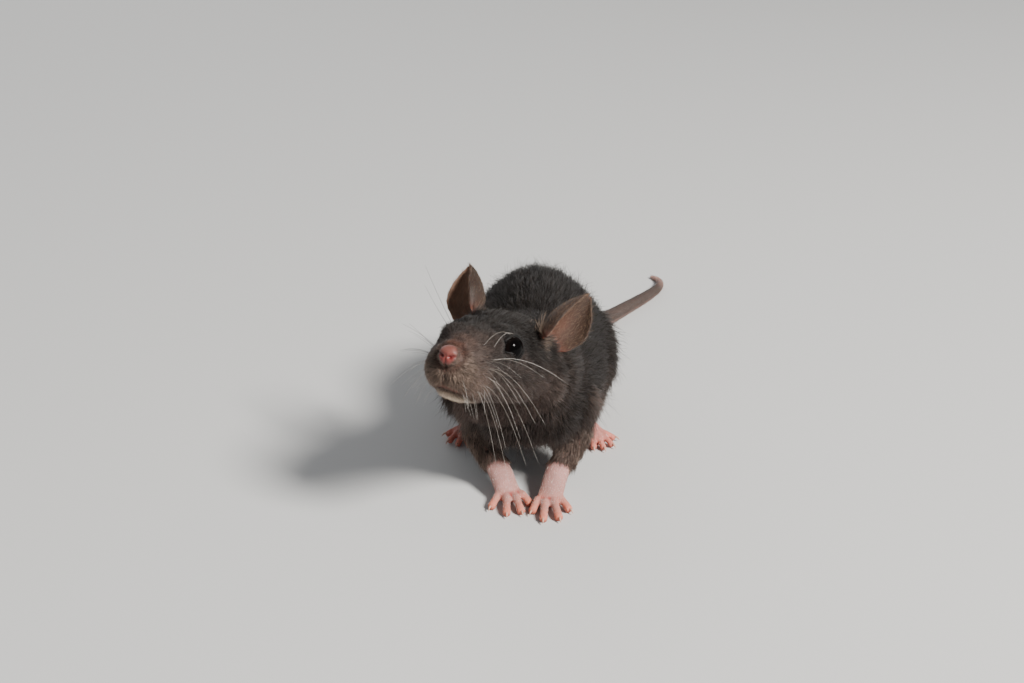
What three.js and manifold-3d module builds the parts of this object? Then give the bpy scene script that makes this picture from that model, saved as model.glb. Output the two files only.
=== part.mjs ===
// A young grey rat, about four weeks old, standing on all fours with its head raised and turned to its right.
// Millimetres, +Z up. The rat faces -Y, so its left side is +X. The solids reach out to the tips of the coat.
import * as THREE from "three";
import { mergeVertices } from "three/addons/utils/BufferGeometryUtils.js";
import Module from "manifold-3d";

const wasm = await Module();
wasm.setup();

// ---------- driving dimensions ----------
const GAP = 0.3; // clear space between neighbouring pieces
const HEAD_AT = new THREE.Vector3(-8.2, -35.3, 41.2); // middle of the skull
const HEAD_YAW = 27.4; // degrees, turned to the rat's right
const HEAD_PITCH = 25.4; // degrees, nose raised
const HEAD_ROLL = 2.4; // degrees
const MUZZLE_BACK = -11.5; // in the head's frame: the muzzle ends here
const SKULL_BACK = 8; // in the head's frame: the head ends here, and the neck takes over
const EYE_RADIUS = 3.1;
const EYE_AT = new THREE.Vector3(6.2, -6.9, 1.9); // in the head's frame
const EAR_LENGTH = 15.3;
const EAR_ROLL = 5.0; // radius that the ear's leaf is rolled to
const EAR_THICKNESS = 1.1; // at the base, half of it at the tip
const EAR_TAPER = 0.4; // share of its height above which it narrows to the tip
const EAR_CURL = { inner: [125, 116], outer: [72, 98] }; // degrees that each half curls, at the base and the tip
const EAR_BASE = new THREE.Vector3(8.6, 5.4, 4.4); // in the head's frame
const EAR_OUT = 27; // degrees that an ear leans away from the midline
const EAR_BACK = 13; // degrees that it leans back
const EAR_TURN = { left: 53, right: 20 }; // degrees that its opening turns from straight ahead
const WAIST_Y = 4; // the chest and the loins part here
const TOE_RADIUS = 0.8;
const CLAW_LENGTH = 1.3;
const SIDE = 45; // of the blocks that part the body: larger than any piece they cut

// ---------- small tools ----------
const UP = new THREE.Vector3(0, 0, 1);
const AHEAD = new THREE.Vector3(0, -1, 0);
const radians = THREE.MathUtils.degToRad;
const at = (x, y, z) => new THREE.Vector3(x, y, z);

// A closed geometry as a manifold-3d solid, its faces pointing out.
function solid(geometry, placing = new THREE.Matrix4()) {
  const bare = new THREE.BufferGeometry();
  bare.setAttribute("position", geometry.getAttribute("position").clone());
  bare.setIndex(geometry.index);
  bare.applyMatrix4(placing);
  const merged = mergeVertices(bare, 1e-4);
  const triVerts = new Uint32Array(merged.index.array);
  const vertProperties = merged.attributes.position.array;
  const make = () => new wasm.Manifold(new wasm.Mesh({ numProp: 3, vertProperties, triVerts }));
  const made = make();
  if (made.volume() > 0) return made;
  for (let i = 0; i < triVerts.length; i += 3) {
    [triVerts[i + 1], triVerts[i + 2]] = [triVerts[i + 2], triVerts[i + 1]];
  }
  return make();
}

// The largest body of a solid: a cut can leave a loose sliver beside it.
const largest = (made) => made.decompose().reduce((a, b) => (b.volume() > a.volume() ? b : a));
const join = (...solids) => solids.reduce((a, b) => a.add(b));
const cut = (made, ...knives) => largest(knives.reduce((a, b) => a.subtract(b), made));

// How far a round end has opened at share q of its length.
const dome = (q) => (q >= 1 ? 1 : Math.sqrt(Math.max(0, 1 - (1 - q) ** 2)));

// A closed body on a spine. A station is [x, y, z, half width, reach above the spine, reach below it].
// The rings of a sphere are laid on the spine, closer together towards its round ends. square holds the
// exponents of the section above and below the spine: 2 is an ellipse, less is peaked, more is boxy.
function loft(stations, { around = 16, along = 12, up = UP, grow = 0, ends = [0.15, 0.15], square = [2, 2] } = {}) {
  const spine = new THREE.CatmullRomCurve3(stations.map((s) => at(s[0], s[1], s[2])));
  const reach = new THREE.CatmullRomCurve3(stations.map((s) => at(s[3], s[4], s[5] ?? s[4])));
  const geometry = new THREE.SphereGeometry(1, around, along);
  const place = geometry.getAttribute("position");
  const ring = around + 1;
  for (let i = 0; i < place.count; i++) {
    const t = (1 - Math.cos((Math.PI * Math.floor(i / ring)) / along)) / 2;
    const angle = (2 * Math.PI * ((i % ring) % around)) / around;
    const tangent = spine.getTangent(t);
    const side = tangent.clone().cross(up).normalize();
    const above = side.clone().cross(tangent);
    const size = reach.getPoint(t);
    const open = dome(t / ends[0]) * dome((1 - t) / ends[1]);
    const top = Math.sin(angle) >= 0;
    const bend = (v) => Math.sign(v) * Math.abs(v) ** (2 / square[top ? 0 : 1]);
    const across = bend(Math.cos(angle)) * (size.x + grow) * open;
    const over = bend(Math.sin(angle)) * ((top ? size.y : size.z) + grow) * open;
    const p = spine.getPoint(t).addScaledVector(side, across).addScaledVector(above, over);
    p.addScaledVector(tangent, grow * (t < 0.5 ? -1 : 1) * (1 - open));
    place.setXYZ(i, p.x, p.y, p.z);
  }
  return geometry;
}

// A loft as a solid and, a gap larger, as the knife that clears room for it.
function pair(stations, form, placing) {
  return [solid(loft(stations, form), placing), solid(loft(stations, { ...form, grow: GAP }), placing)];
}

// A block between two corners.
function block(low, high) {
  const size = high.clone().sub(low);
  const middle = low.clone().add(high).multiplyScalar(0.5);
  return new THREE.BoxGeometry(size.x, size.y, size.z).translate(middle.x, middle.y, middle.z);
}

const UNDER_FLOOR = solid(block(at(-2 * SIDE, -2 * SIDE, -SIDE), at(2 * SIDE, 4 * SIDE, 0)));

// ---------- finishes ----------
const finish = (color, roughness) => new THREE.MeshStandardMaterial({ color, roughness, metalness: 0 });
const COAT = finish(0x4a4442, 0.9);
const PALE_COAT = finish(0x8b817a, 0.9);
const BARE_SKIN = finish(0xd9a79b, 0.55);
const EAR_SKIN = finish(0x7d5b4b, 0.6);
const TAIL_SKIN = finish(0x6f5f59, 0.65);
const EYE = finish(0x0a0807, 0.08);

const rat = new THREE.Group();
function add(name, made, material) {
  const source = made.getMesh();
  const geometry = new THREE.BufferGeometry();
  geometry.setAttribute("position", new THREE.BufferAttribute(new Float32Array(source.vertProperties), 3));
  geometry.setIndex(new THREE.BufferAttribute(new Uint32Array(source.triVerts), 1));
  geometry.computeVertexNormals();
  const mesh = new THREE.Mesh(geometry, material);
  mesh.name = name;
  rat.add(mesh);
}

// ---------- trunk and neck: arched back, low slung belly, broad haunches ----------
const [trunk, trunkKnife] = pair(
  [
    [-3.0, -36, 26.0, 7.0, 9.0, 9.0],
    [-2.0, -30, 25.5, 12.0, 13.0, 12.5],
    [-0.5, -20, 23.5, 15.0, 18.5, 14.5],
    [0.5, -10, 21.2, 16.8, 23.2, 14.6],
    [1.0, 0, 19.6, 18.6, 25.3, 14.0],
    [1.5, 10, 18.6, 19.4, 25.1, 13.6],
    [2.2, 20, 18.0, 19.0, 21.8, 13.0],
    [3.0, 30, 17.2, 16.4, 16.0, 11.4],
    [3.8, 38, 16.0, 11.8, 10.6, 8.2],
    [4.4, 45, 14.8, 5.5, 5.0, 4.6],
  ],
  { around: 20, along: 14, ends: [0.1, 0.09], square: [1.8, 2.2] },
);
const [collar, collarKnife] = pair(
  [
    [0.0, -12, 29.0, 12.5, 14.0, 12.0],
    [-1.8, -21, 31.0, 14.6, 12.8, 15.0],
    [-4.2, -28.5, 34.0, 15.0, 12.4, 16.0],
    [-6.6, -34, 37.2, 12.8, 11.0, 14.5],
  ],
  { around: 16, along: 7, ends: [0.2, 0.25] },
);

// ---------- head: built in its own frame, nose towards -Y ----------
const HEAD = new THREE.Matrix4().compose(
  HEAD_AT,
  new THREE.Quaternion().setFromEuler(
    new THREE.Euler(radians(-HEAD_PITCH), radians(HEAD_ROLL), radians(-HEAD_YAW), "ZXY"),
  ),
  at(1, 1, 1),
);
const [skull, skullKnife] = pair(
  [
    [0, -21.6, -2.5, 2.6, 2.4, 4.0],
    [0, -19.6, -2.6, 5.0, 3.6, 6.6],
    [0, -17.0, -2.7, 6.8, 5.0, 8.5],
    [0, -13.5, -2.5, 8.0, 6.6, 9.3],
    [0, -9.5, -2.0, 8.5, 8.0, 9.6],
    [0, -4.5, -1.4, 10.0, 9.5, 9.9],
    [0, 1.0, -1.0, 11.8, 10.5, 10.6],
    [0, 7.0, -1.0, 12.6, 10.5, 11.2],
    [0, 13.0, -1.5, 11.8, 9.2, 10.8],
    [0, 18.5, -3.0, 6.0, 5.0, 6.0],
  ],
  { around: 18, along: 16, ends: [0.07, 0.12], square: [2.1, 2.4] },
  HEAD,
);
// The lower jaw: a tongue-shaped wedge of the same form under the mouth line, with a rounded chin.
const [jawWedge, jawKnife] = pair(
  [
    [0, -19.9, -10.3, 3.4, 1.8, 4.0],
    [0, -15.0, -10.9, 5.2, 2.5, 4.5],
    [0, -9.0, -11.9, 6.4, 3.0, 4.5],
    [0, -2.0, -12.4, 6.8, 3.2, 4.0],
  ],
  { around: 12, along: 8, ends: [0.2, 0.25] },
  HEAD,
);
// The nose: a bare pad on the tip of the muzzle.
const [nose, noseKnife] = pair(
  [
    [0, -22.8, -1.6, 1.2, 1.0, 1.2],
    [0, -22.0, -1.7, 2.1, 1.7, 2.2],
    [0, -20.8, -1.8, 2.4, 2.0, 2.7],
    [0, -19.4, -1.9, 2.0, 1.7, 2.4],
  ],
  { around: 14, along: 7, ends: [0.3, 0.3] },
  HEAD,
);
const slab = (from, to) => solid(block(at(-SIDE, from, -SIDE), at(SIDE, to, SIDE)), HEAD);
const eyeball = (sign, radius) =>
  solid(new THREE.SphereGeometry(radius, 12, 8).translate(sign * EYE_AT.x, EYE_AT.y, EYE_AT.z), HEAD);

const wholeHead = join(skull, collar);
const muzzle = cut(skull.intersect(slab(-SIDE, MUZZLE_BACK - GAP / 2)), noseKnife, jawKnife);
const head = cut(
  wholeHead.intersect(slab(MUZZLE_BACK + GAP / 2, SKULL_BACK)),
  jawKnife,
  trunkKnife,
  eyeball(1, EYE_RADIUS + GAP),
  eyeball(-1, EYE_RADIUS + GAP),
);
const jaw = cut(skull.intersect(jawWedge), trunkKnife);
const neck = cut(wholeHead.intersect(slab(SKULL_BACK + GAP, SIDE)), trunkKnife, jawKnife);

// An ear is a leaf, rolled into a funnel at its base and open towards the front.
function ear(side) {
  const sign = side === "left" ? 1 : -1;
  const geometry = new THREE.SphereGeometry(1, 16, 10);
  const place = geometry.getAttribute("position");
  for (let i = 0; i < place.count; i++) {
    const height = (1 - place.getY(i)) / 2; // 0 at the base, 1 at the tip
    const ring = Math.sqrt(Math.max(1e-9, 1 - place.getY(i) ** 2));
    const across = THREE.MathUtils.clamp(place.getX(i) / ring, -1, 1); // -1 at the inner edge, 1 at the outer
    const front = place.getZ(i) / ring;
    const taper = 1 - Math.max(0, (height - EAR_TAPER) / (1 - EAR_TAPER)) ** 1.5;
    const open = dome(height / 0.12) * taper;
    const radius = EAR_ROLL * (0.8 + 0.2 * Math.min(1, 3 * height)) * open + 1e-6;
    const [low, high] = across < 0 ? EAR_CURL.inner : EAR_CURL.outer;
    const curl = across * radians(THREE.MathUtils.lerp(low, high, Math.min(1, 1.3 * height)));
    const thick = EAR_THICKNESS * (1 - 0.5 * height) * Math.min(1, 1.6 * open);
    const r = radius - (front * thick) / 2;
    const bow = 2.9 * height * (1 - height); // the leaf bends back half way up
    place.setXYZ(i, sign * r * Math.sin(curl), r * Math.cos(curl) - radius + bow, height * EAR_LENGTH);
  }
  const lean = new THREE.Euler(radians(-EAR_BACK), radians(sign * EAR_OUT), radians(sign * EAR_TURN[side]), "XYZ");
  const placing = new THREE.Matrix4().makeRotationFromEuler(lean);
  placing.setPosition(sign * EAR_BASE.x, EAR_BASE.y, EAR_BASE.z);
  return cut(solid(geometry, HEAD.clone().multiply(placing)), skullKnife, collarKnife, trunkKnife);
}

add("nose", nose, BARE_SKIN);
add("muzzle", muzzle, PALE_COAT);
add("jaw", jaw, PALE_COAT);
add("head", head, COAT);
add("neck", neck, COAT);
["left", "right"].forEach((side) => {
  add("eye_" + side, eyeball(side === "left" ? 1 : -1, EYE_RADIUS), EYE);
  add("ear_" + side, ear(side), EAR_SKIN);
});

// ---------- hands and feet ----------
// A digit: a thin loft from the knuckle over a raised joint to the pad, ending in a claw.
function digit([root, tip], rise) {
  const out = tip.clone().sub(root).setZ(0).normalize();
  const middle = root.clone().lerp(tip, 0.5).setZ(rise);
  const r = TOE_RADIUS;
  const toe = [
    [root.x, root.y, root.z, 1.1 * r, r],
    [middle.x, middle.y, middle.z, 0.95 * r, 0.95 * r],
    [tip.x, tip.y, tip.z, r, r],
  ];
  const claw = [-1.2 * r, 0, CLAW_LENGTH].map((reach, i) => {
    const p = tip.clone().addScaledVector(out, reach);
    const thick = [0.5, 0.45, 0.3][i];
    return [p.x, p.y, [0.8, 0.8, 0.45][i], thick, thick];
  });
  return join(
    solid(loft(toe, { around: 5, along: 4, ends: [0.35, 0.35] })),
    solid(loft(claw, { around: 4, along: 3, ends: [0.2, 0.2] })),
  );
}

// A hand or foot: its palm or sole with the digits, trimmed flat where it stands on the floor.
const paw = (sole, digits, rise) => cut(join(sole, ...digits.map((d) => digit(d, rise))), UNDER_FLOOR);

// The legs' solids also clear room for themselves in the trunk.
const legKnives = [];

// Forelegs. Each digit is [knuckle, tip], from the inner side of the left hand and the outer side of the right.
const FORELEGS = {
  left: {
    upper: [
      [8.6, -23, 27, 5.2, 6.0],
      [11.0, -18.5, 20.5, 5.6, 6.6],
      [11.8, -13.5, 14, 4.4, 5.0],
    ],
    lower: [
      [11.6, -12.4, 13.6, 4.0, 4.2],
      [10.4, -16.4, 11.6, 4.3, 4.5],
      [8.6, -20.2, 9.2, 3.9, 4.0],
      [6.9, -23.8, 6.8, 3.3, 3.0],
    ],
    palm: [
      [7.0, -22.4, 6.6, 2.9, 2.4],
      [5.7, -25.8, 4.9, 3.0, 2.4],
      [4.7, -29.0, 3.2, 3.1, 2.2, 3.0],
      [4.1, -31.8, 2.0, 3.4, 1.7, 2.7],
      [4.0, -33.6, 1.3, 3.1, 1.2, 2.0],
    ],
    digits: [
      [at(2.0, -31.2, 1.6), at(0.0, -35.4, 0.55)],
      [at(3.3, -32.0, 1.7), at(2.6, -39.0, 0.55)],
      [at(4.9, -32.0, 1.7), at(6.3, -38.4, 0.55)],
      [at(6.1, -31.0, 1.6), at(8.8, -34.6, 0.55)],
    ],
  },
  right: {
    upper: [
      [-10.8, -23, 27, 5.2, 6.0],
      [-12.8, -18.5, 20.5, 5.6, 6.6],
      [-13.6, -13.5, 14, 4.4, 5.0],
    ],
    lower: [
      [-13.2, -12.4, 13.6, 4.0, 4.2],
      [-11.9, -16.0, 11.6, 4.3, 4.5],
      [-10.2, -19.4, 9.2, 3.9, 4.0],
      [-8.7, -22.8, 6.8, 3.3, 3.0],
    ],
    palm: [
      [-8.8, -21.4, 6.6, 2.9, 2.4],
      [-7.2, -24.6, 4.9, 3.0, 2.4],
      [-5.8, -27.6, 3.2, 3.1, 2.2, 3.0],
      [-4.9, -29.8, 2.0, 3.3, 1.7, 2.7],
      [-4.6, -31.4, 1.3, 3.0, 1.2, 2.0],
    ],
    digits: [
      [at(-7.0, -28.8, 1.6), at(-8.9, -33.6, 0.55)],
      [at(-5.7, -29.8, 1.7), at(-4.9, -36.2, 0.55)],
      [at(-4.1, -29.8, 1.7), at(-2.7, -35.0, 0.55)],
      [at(-3.0, -28.8, 1.6), at(-0.9, -31.6, 0.55)],
    ],
  },
};
for (const [side, { upper, lower, palm, digits }] of Object.entries(FORELEGS)) {
  const [arm, armKnife] = pair(upper, { around: 12, along: 6, up: AHEAD, ends: [0.3, 0.3] });
  const [forearm, forearmKnife] = pair(lower, { around: 10, along: 6, up: AHEAD, ends: [0.25, 0.1] });
  const [wrist, wristKnife] = pair(palm, { around: 8, along: 7, ends: [0.15, 0.2] });
  add("upper_arm_" + side, cut(arm, forearmKnife, collarKnife, skullKnife), COAT);
  add("forearm_" + side, cut(forearm, wristKnife), COAT);
  add("hand_" + side, paw(wrist, digits, 2.0), BARE_SKIN);
  legKnives.push(armKnife, forearmKnife);
}

// Hind legs: a thigh laid against the flank, a shank and a long flat foot turned outwards.
const HINDLEGS = {
  left: {
    thigh: [
      [11.8, 29, 20.0, 5.6, 7.4],
      [14.6, 20, 18.8, 7.3, 11.4],
      [16.0, 10, 17.0, 6.4, 10.8],
      [16.2, 0.8, 14.0, 4.6, 6.6],
    ],
    shank: [
      [16.2, 1.5, 11.0, 4.0, 5.0],
      [13.6, 9.5, 7.8, 4.0, 4.2],
      [9.4, 18.0, 4.6, 3.0, 2.8],
    ],
    sole: [
      [7.4, 20.6, 2.3, 1.9, 2.1, 2.6],
      [9.4, 15.6, 2.4, 2.5, 2.5, 2.8],
      [12.2, 9.2, 2.3, 2.9, 2.4, 2.7],
      [14.8, 3.4, 2.0, 3.4, 2.1, 2.4],
      [16.6, -0.6, 1.5, 3.5, 1.6, 1.9],
      [17.3, -2.2, 1.2, 3.2, 1.2, 1.5],
    ],
    digits: [
      [at(14.7, 2.4, 1.4), at(13.9, -1.7, 0.55)],
      [at(15.4, 0.8, 1.5), at(16.2, -4.4, 0.55)],
      [at(16.6, 0.6, 1.5), at(18.6, -4.1, 0.55)],
      [at(17.4, 1.4, 1.5), at(20.2, -2.0, 0.55)],
      [at(17.0, 2.8, 1.4), at(20.6, 1.5, 0.55)],
    ],
  },
  right: {
    thigh: [
      [-9.6, 30, 19.5, 5.6, 7.4],
      [-12.8, 21, 18.2, 7.3, 11.4],
      [-15.8, 11, 15.8, 6.4, 11.0],
      [-17.4, 4.0, 12.2, 5.6, 8.8],
      [-17.6, -1.6, 11.0, 5.0, 7.2],
    ],
    shank: [
      [-17.0, 3.5, 9.4, 4.0, 5.0],
      [-14.0, 11.5, 7.4, 4.0, 4.2],
      [-9.6, 20.0, 4.6, 3.0, 2.8],
    ],
  },
};
// The right foot is the left one mirrored about this plane, and stands a little further back.
const MIRROR_X = 0.1;
const RIGHT_FOOT_BACK = 2;
const mirrored = (x, y, ...rest) => [2 * MIRROR_X - x, y + RIGHT_FOOT_BACK, ...rest];
HINDLEGS.right.sole = HINDLEGS.left.sole.map((s) => mirrored(...s));
HINDLEGS.right.digits = HINDLEGS.left.digits.map((d) => d.map((p) => at(...mirrored(p.x, p.y, p.z))));
for (const [side, { thigh, shank, sole, digits }] of Object.entries(HINDLEGS)) {
  const [haunch, haunchKnife] = pair(thigh, { around: 14, along: 8, ends: [0.3, 0.3] });
  const [lower, lowerKnife] = pair(shank, { around: 10, along: 6, ends: [0.25, 0.25] });
  const [foot, footKnife] = pair(sole, { around: 8, along: 8, ends: [0.12, 0.15] });
  add("thigh_" + side, cut(haunch, footKnife), COAT);
  add("shank_" + side, cut(lower, haunchKnife, footKnife), COAT);
  add("foot_" + side, paw(foot, digits, 1.9), BARE_SKIN);
  legKnives.push(haunchKnife, lowerKnife, footKnife);
}

// ---------- tail: thick at the rump, then along the floor, its tip curled to one side ----------
const TAIL = [
  [4.4, 41, 14.5, 5.0],
  [6.4, 48, 11.0, 4.1],
  [10.2, 55, 7.2, 3.2],
  [15.2, 62, 4.3, 2.6],
  [20.2, 69, 2.7, 2.3],
  [25.2, 76, 1.95, 2.1],
  [30.2, 83, 1.7, 1.9],
  [35.2, 90, 1.5, 1.7],
  [39.4, 97, 1.25, 1.4],
  [41.0, 102.5, 0.95, 1.1],
  [40.4, 106.5, 0.75, 0.85],
  [38.6, 109.3, 0.55, 0.65],
].map(([x, y, z, r]) => [x, y, z, r, r]);
const TAIL_CUTS = [0.34, 0.67]; // shares of the spine where the tail is divided

const wholeTail = cut(solid(loft(TAIL, { around: 10, along: 24, ends: [0.04, 0.04] })), UNDER_FLOOR);
const tailSpine = new THREE.CatmullRomCurve3(TAIL.map((s) => at(s[0], s[1], s[2])));
// The half of space before (-1) or beyond (1) a share of the tail's spine, less half a gap.
function tailHalf(t, towards) {
  const size = 3 * SIDE;
  const plate = new THREE.BoxGeometry(size, size, size).translate(0, 0, (towards * (size + GAP)) / 2);
  const turn = new THREE.Quaternion().setFromUnitVectors(UP, tailSpine.getTangent(t));
  return solid(plate, new THREE.Matrix4().compose(tailSpine.getPoint(t), turn, at(1, 1, 1)));
}
const [first, second] = TAIL_CUTS;
add("tail_base", cut(wholeTail.intersect(tailHalf(first, -1)), trunkKnife), COAT);
add("tail_middle", wholeTail.intersect(tailHalf(first, 1)).intersect(tailHalf(second, -1)), TAIL_SKIN);
add("tail_tip", wholeTail.intersect(tailHalf(second, 1)), TAIL_SKIN);

// ---------- chest and loins: the trunk with room cleared for the legs ----------
const chestBlock = solid(block(at(-SIDE, -2 * SIDE, -SIDE), at(SIDE, WAIST_Y - GAP / 2, 2 * SIDE)));
const loinsBlock = solid(block(at(-SIDE, WAIST_Y + GAP / 2, -SIDE), at(SIDE, 2 * SIDE, 2 * SIDE)));
add("chest", cut(trunk.intersect(chestBlock), ...legKnives), COAT);
add("loins", cut(trunk.intersect(loinsBlock), ...legKnives), COAT);

// The origin is on the floor, under the middle of the rat.
rat.updateMatrixWorld(true);
const box = new THREE.Box3().setFromObject(rat);
rat.position.set(-(box.min.x + box.max.x) / 2, -(box.min.y + box.max.y) / 2, -box.min.z);

export default rat;
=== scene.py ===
"""A young grey rat on all fours: one skin, wet black eyes, claws, a coat of solid tufts, and whiskers."""
import math

import bmesh
import bpy
import numpy as np
from mathutils import Matrix, Vector
from mathutils.bvhtree import BVHTree


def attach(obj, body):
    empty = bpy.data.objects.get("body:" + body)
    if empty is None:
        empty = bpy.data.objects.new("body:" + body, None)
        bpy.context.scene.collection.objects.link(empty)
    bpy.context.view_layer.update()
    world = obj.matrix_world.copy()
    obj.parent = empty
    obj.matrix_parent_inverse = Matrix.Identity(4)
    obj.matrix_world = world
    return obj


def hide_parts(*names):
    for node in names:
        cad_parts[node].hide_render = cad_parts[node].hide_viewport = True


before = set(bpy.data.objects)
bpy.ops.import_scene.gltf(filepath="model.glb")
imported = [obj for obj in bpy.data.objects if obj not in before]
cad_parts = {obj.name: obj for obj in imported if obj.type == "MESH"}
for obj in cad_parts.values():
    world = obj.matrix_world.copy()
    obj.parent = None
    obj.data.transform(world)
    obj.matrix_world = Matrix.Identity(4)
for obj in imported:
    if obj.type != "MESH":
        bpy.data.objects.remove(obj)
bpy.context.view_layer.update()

# ---------- the skin's rough form ----------
# The rat's whole outside is one sheet of skin, from the nose pad to the tip of the tail. Its form starts from
# the frame's flesh, closed over the thin cuts, with smoothly drawn ears, forearms, hands, feet and tail.
# Stations are in millimetres: x, y, z on the spine, half width, reach above the spine and reach below it. A
# value that is left out at the end is the same as the one before it.
MM = 0.001
ORIGIN = np.array([-9.62, -26.81, 0.0])  # where the stations are measured from
HEAD_AT = np.array([-8.2, -35.3, 41.2]) + ORIGIN  # middle of the skull
HEAD_TURN = np.array(
    Matrix.Rotation(math.radians(-27.4), 3, "Z")
    @ Matrix.Rotation(math.radians(-25.4), 3, "X")
    @ Matrix.Rotation(math.radians(2.4), 3, "Y")
)
EYE_AT = np.array([6.2, -6.9, 1.9])  # left eye in the head's frame: nose towards -Y, left towards +X
EYE_RADIUS = 3.1
VOXEL = 0.28  # how finely the closed sheet is drawn
LID_STOCK = 0.3  # flesh round the eyeball that the lids are made from

TAIL = [
    (4.4, 41, 14.5, 5.0), (6.4, 48, 11.0, 4.1), (10.2, 55, 7.2, 3.2), (15.2, 62, 4.3, 2.6),
    (20.2, 69, 2.7, 2.3), (25.2, 76, 1.95, 2.1), (30.2, 83, 1.7, 1.9), (35.2, 90, 1.5, 1.7),
    (39.4, 97, 1.25, 1.4), (41.0, 102.5, 0.95, 1.1), (40.4, 106.5, 0.75, 0.85), (38.6, 109.3, 0.55, 0.65),
]
FOREARMS = {
    "left": [(11.6, -12.4, 13.6, 3.4, 3.6), (10.4, -16.4, 11.6, 3.7, 3.7), (8.6, -20.2, 9.2, 3.5, 3.3),
             (6.9, -23.8, 6.8, 3.0, 2.5)],
    "right": [(-13.2, -12.4, 13.6, 3.4, 3.6), (-11.9, -16.0, 11.6, 3.7, 3.7), (-10.2, -19.4, 9.2, 3.5, 3.3),
              (-8.7, -22.8, 6.8, 3.0, 2.5)],
}
PALMS = {
    "left": [(7.4, -21.4, 7.4, 3.1, 2.5), (5.9, -25.4, 5.2, 2.9, 2.2), (4.8, -29.0, 3.2, 2.9, 1.7, 2.4),
             (4.2, -31.6, 2.0, 3.0, 1.2, 2.0), (4.0, -33.2, 1.3, 2.5, 0.9, 1.6)],
    "right": [(-9.2, -20.4, 7.4, 3.1, 2.5), (-7.3, -24.2, 5.2, 2.9, 2.2), (-5.9, -27.6, 3.2, 2.9, 1.7, 2.4),
              (-5.0, -29.6, 2.0, 3.0, 1.2, 2.0), (-4.7, -31.0, 1.3, 2.5, 0.9, 1.6)],
}
FINGERS = {
    "left": [((2.1, -30.6, 1.8), (0.0, -35.4, 0.7)), ((3.3, -31.4, 1.9), (2.6, -39.0, 0.7)),
             ((4.8, -31.4, 1.9), (6.3, -38.4, 0.7)), ((6.0, -30.4, 1.8), (8.8, -34.6, 0.7))],
    "right": [((-7.0, -28.2, 1.8), (-9.4, -33.4, 0.7)), ((-5.8, -29.2, 1.9), (-5.7, -36.4, 0.7)),
              ((-4.1, -29.2, 1.9), (-2.3, -35.6, 0.7)), ((-3.0, -28.2, 1.8), (-0.2, -31.8, 0.7))],
}
SOLE = [(7.4, 20.6, 2.3, 1.9, 2.1, 2.3), (9.4, 15.6, 2.4, 2.4, 2.4, 2.5), (12.2, 9.2, 2.3, 2.6, 2.1, 2.4),
        (14.8, 3.4, 2.0, 3.1, 1.7, 2.2), (16.6, -0.6, 1.5, 3.1, 1.2, 1.7), (17.3, -2.0, 1.2, 2.6, 0.9, 1.4)]
TOES = [((14.8, 1.6, 1.6), (13.4, -1.9, 0.7)), ((15.5, 0.4, 1.8), (15.7, -4.5, 0.7)),
        ((16.6, 0.2, 1.8), (18.2, -4.6, 0.7)), ((17.5, 1.0, 1.8), (20.4, -2.9, 0.7)),
        ((17.4, 2.6, 1.6), (21.2, 0.9, 0.7))]


def other_foot(point):
    return (0.2 - point[0], point[1] + 2.0, *point[2:])


FEET = {"left": (SOLE, TOES),
        "right": ([other_foot(s) for s in SOLE], [tuple(other_foot(p) for p in toe) for toe in TOES])}


def spline(stations, t):
    """The stations' values at shares t of a smooth curve through all of them."""
    s = np.array([(*p, *[p[-1]] * (6 - len(p))) for p in stations], float)
    s = np.vstack([2 * s[0] - s[1], s, 2 * s[-1] - s[-2]])
    place = np.clip(t, 0, 1) * (len(stations) - 1)
    i = np.minimum(place.astype(int), len(stations) - 2)
    f = (place - i)[:, None]
    a, b, c, d = s[i], s[i + 1], s[i + 2], s[i + 3]
    return 0.5 * (2 * b + (c - a) * f + (2 * a - 5 * b + 4 * c - d) * f**2 + (3 * b - a - 3 * c + d) * f**3)


def dome(q):
    """How far a round end has opened at share q of its length."""
    return np.sqrt(np.clip(1 - (1 - np.clip(q, 0, 1)) ** 2, 0, 1))


def limb(form, stations, around=24, along=40, up=(0, 0, 1), ends=(0.15, 0.15)):
    """Draws a ball out along a spine, with round ends."""
    ball = bmesh.ops.create_uvsphere(form, u_segments=around, v_segments=along, radius=1)["verts"]
    unit = np.array([v.co for v in ball])
    t = (1 - unit[:, 2]) / 2
    here, ahead = spline(stations, t), spline(stations, t + 0.01)
    behind = spline(stations, t - 0.01)
    tangent = ahead[:, :3] - behind[:, :3]
    tangent /= np.linalg.norm(tangent, axis=1)[:, None]
    side = np.cross(tangent, np.array(up, float))
    side /= np.linalg.norm(side, axis=1)[:, None]
    above = np.cross(side, tangent)
    ring = np.sqrt(np.clip(unit[:, 0] ** 2 + unit[:, 1] ** 2, 1e-12, None))
    open_ = dome(t / ends[0]) * dome((1 - t) / ends[1])
    reach = np.where(unit[:, 1] >= 0, here[:, 4], here[:, 5])
    place = here[:, :3] + side * (unit[:, 0] / ring * here[:, 3] * open_)[:, None]
    place = place + above * (unit[:, 1] / ring * reach * open_)[:, None] + ORIGIN
    place[ring < 1e-5] = (here[:, :3] + ORIGIN)[ring < 1e-5]
    for v, co in zip(ball, place):
        v.co = co * MM


def digit(form, root, tip, size=1.0):
    """A finger or toe: raised knuckles, a slender middle and a round pad under the tip."""
    root, tip = np.array(root, float), np.array(tip, float)
    rise = (0.0, 0.55, 0.55, 0.35, 0.06, 0.0)
    thick = (1.04, 1.06, 0.93, 0.97, 1.05, 0.86)
    stations = []
    for share, lift, r in zip((0.0, 0.28, 0.52, 0.76, 0.93, 1.04), rise, thick):
        x, y, z = root + (tip - root) * share
        stations.append((x, y, z + lift * size, r * size, r * size * 0.95, r * size))
    limb(form, stations, around=14, along=18, ends=(0.2, 0.14))


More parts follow.
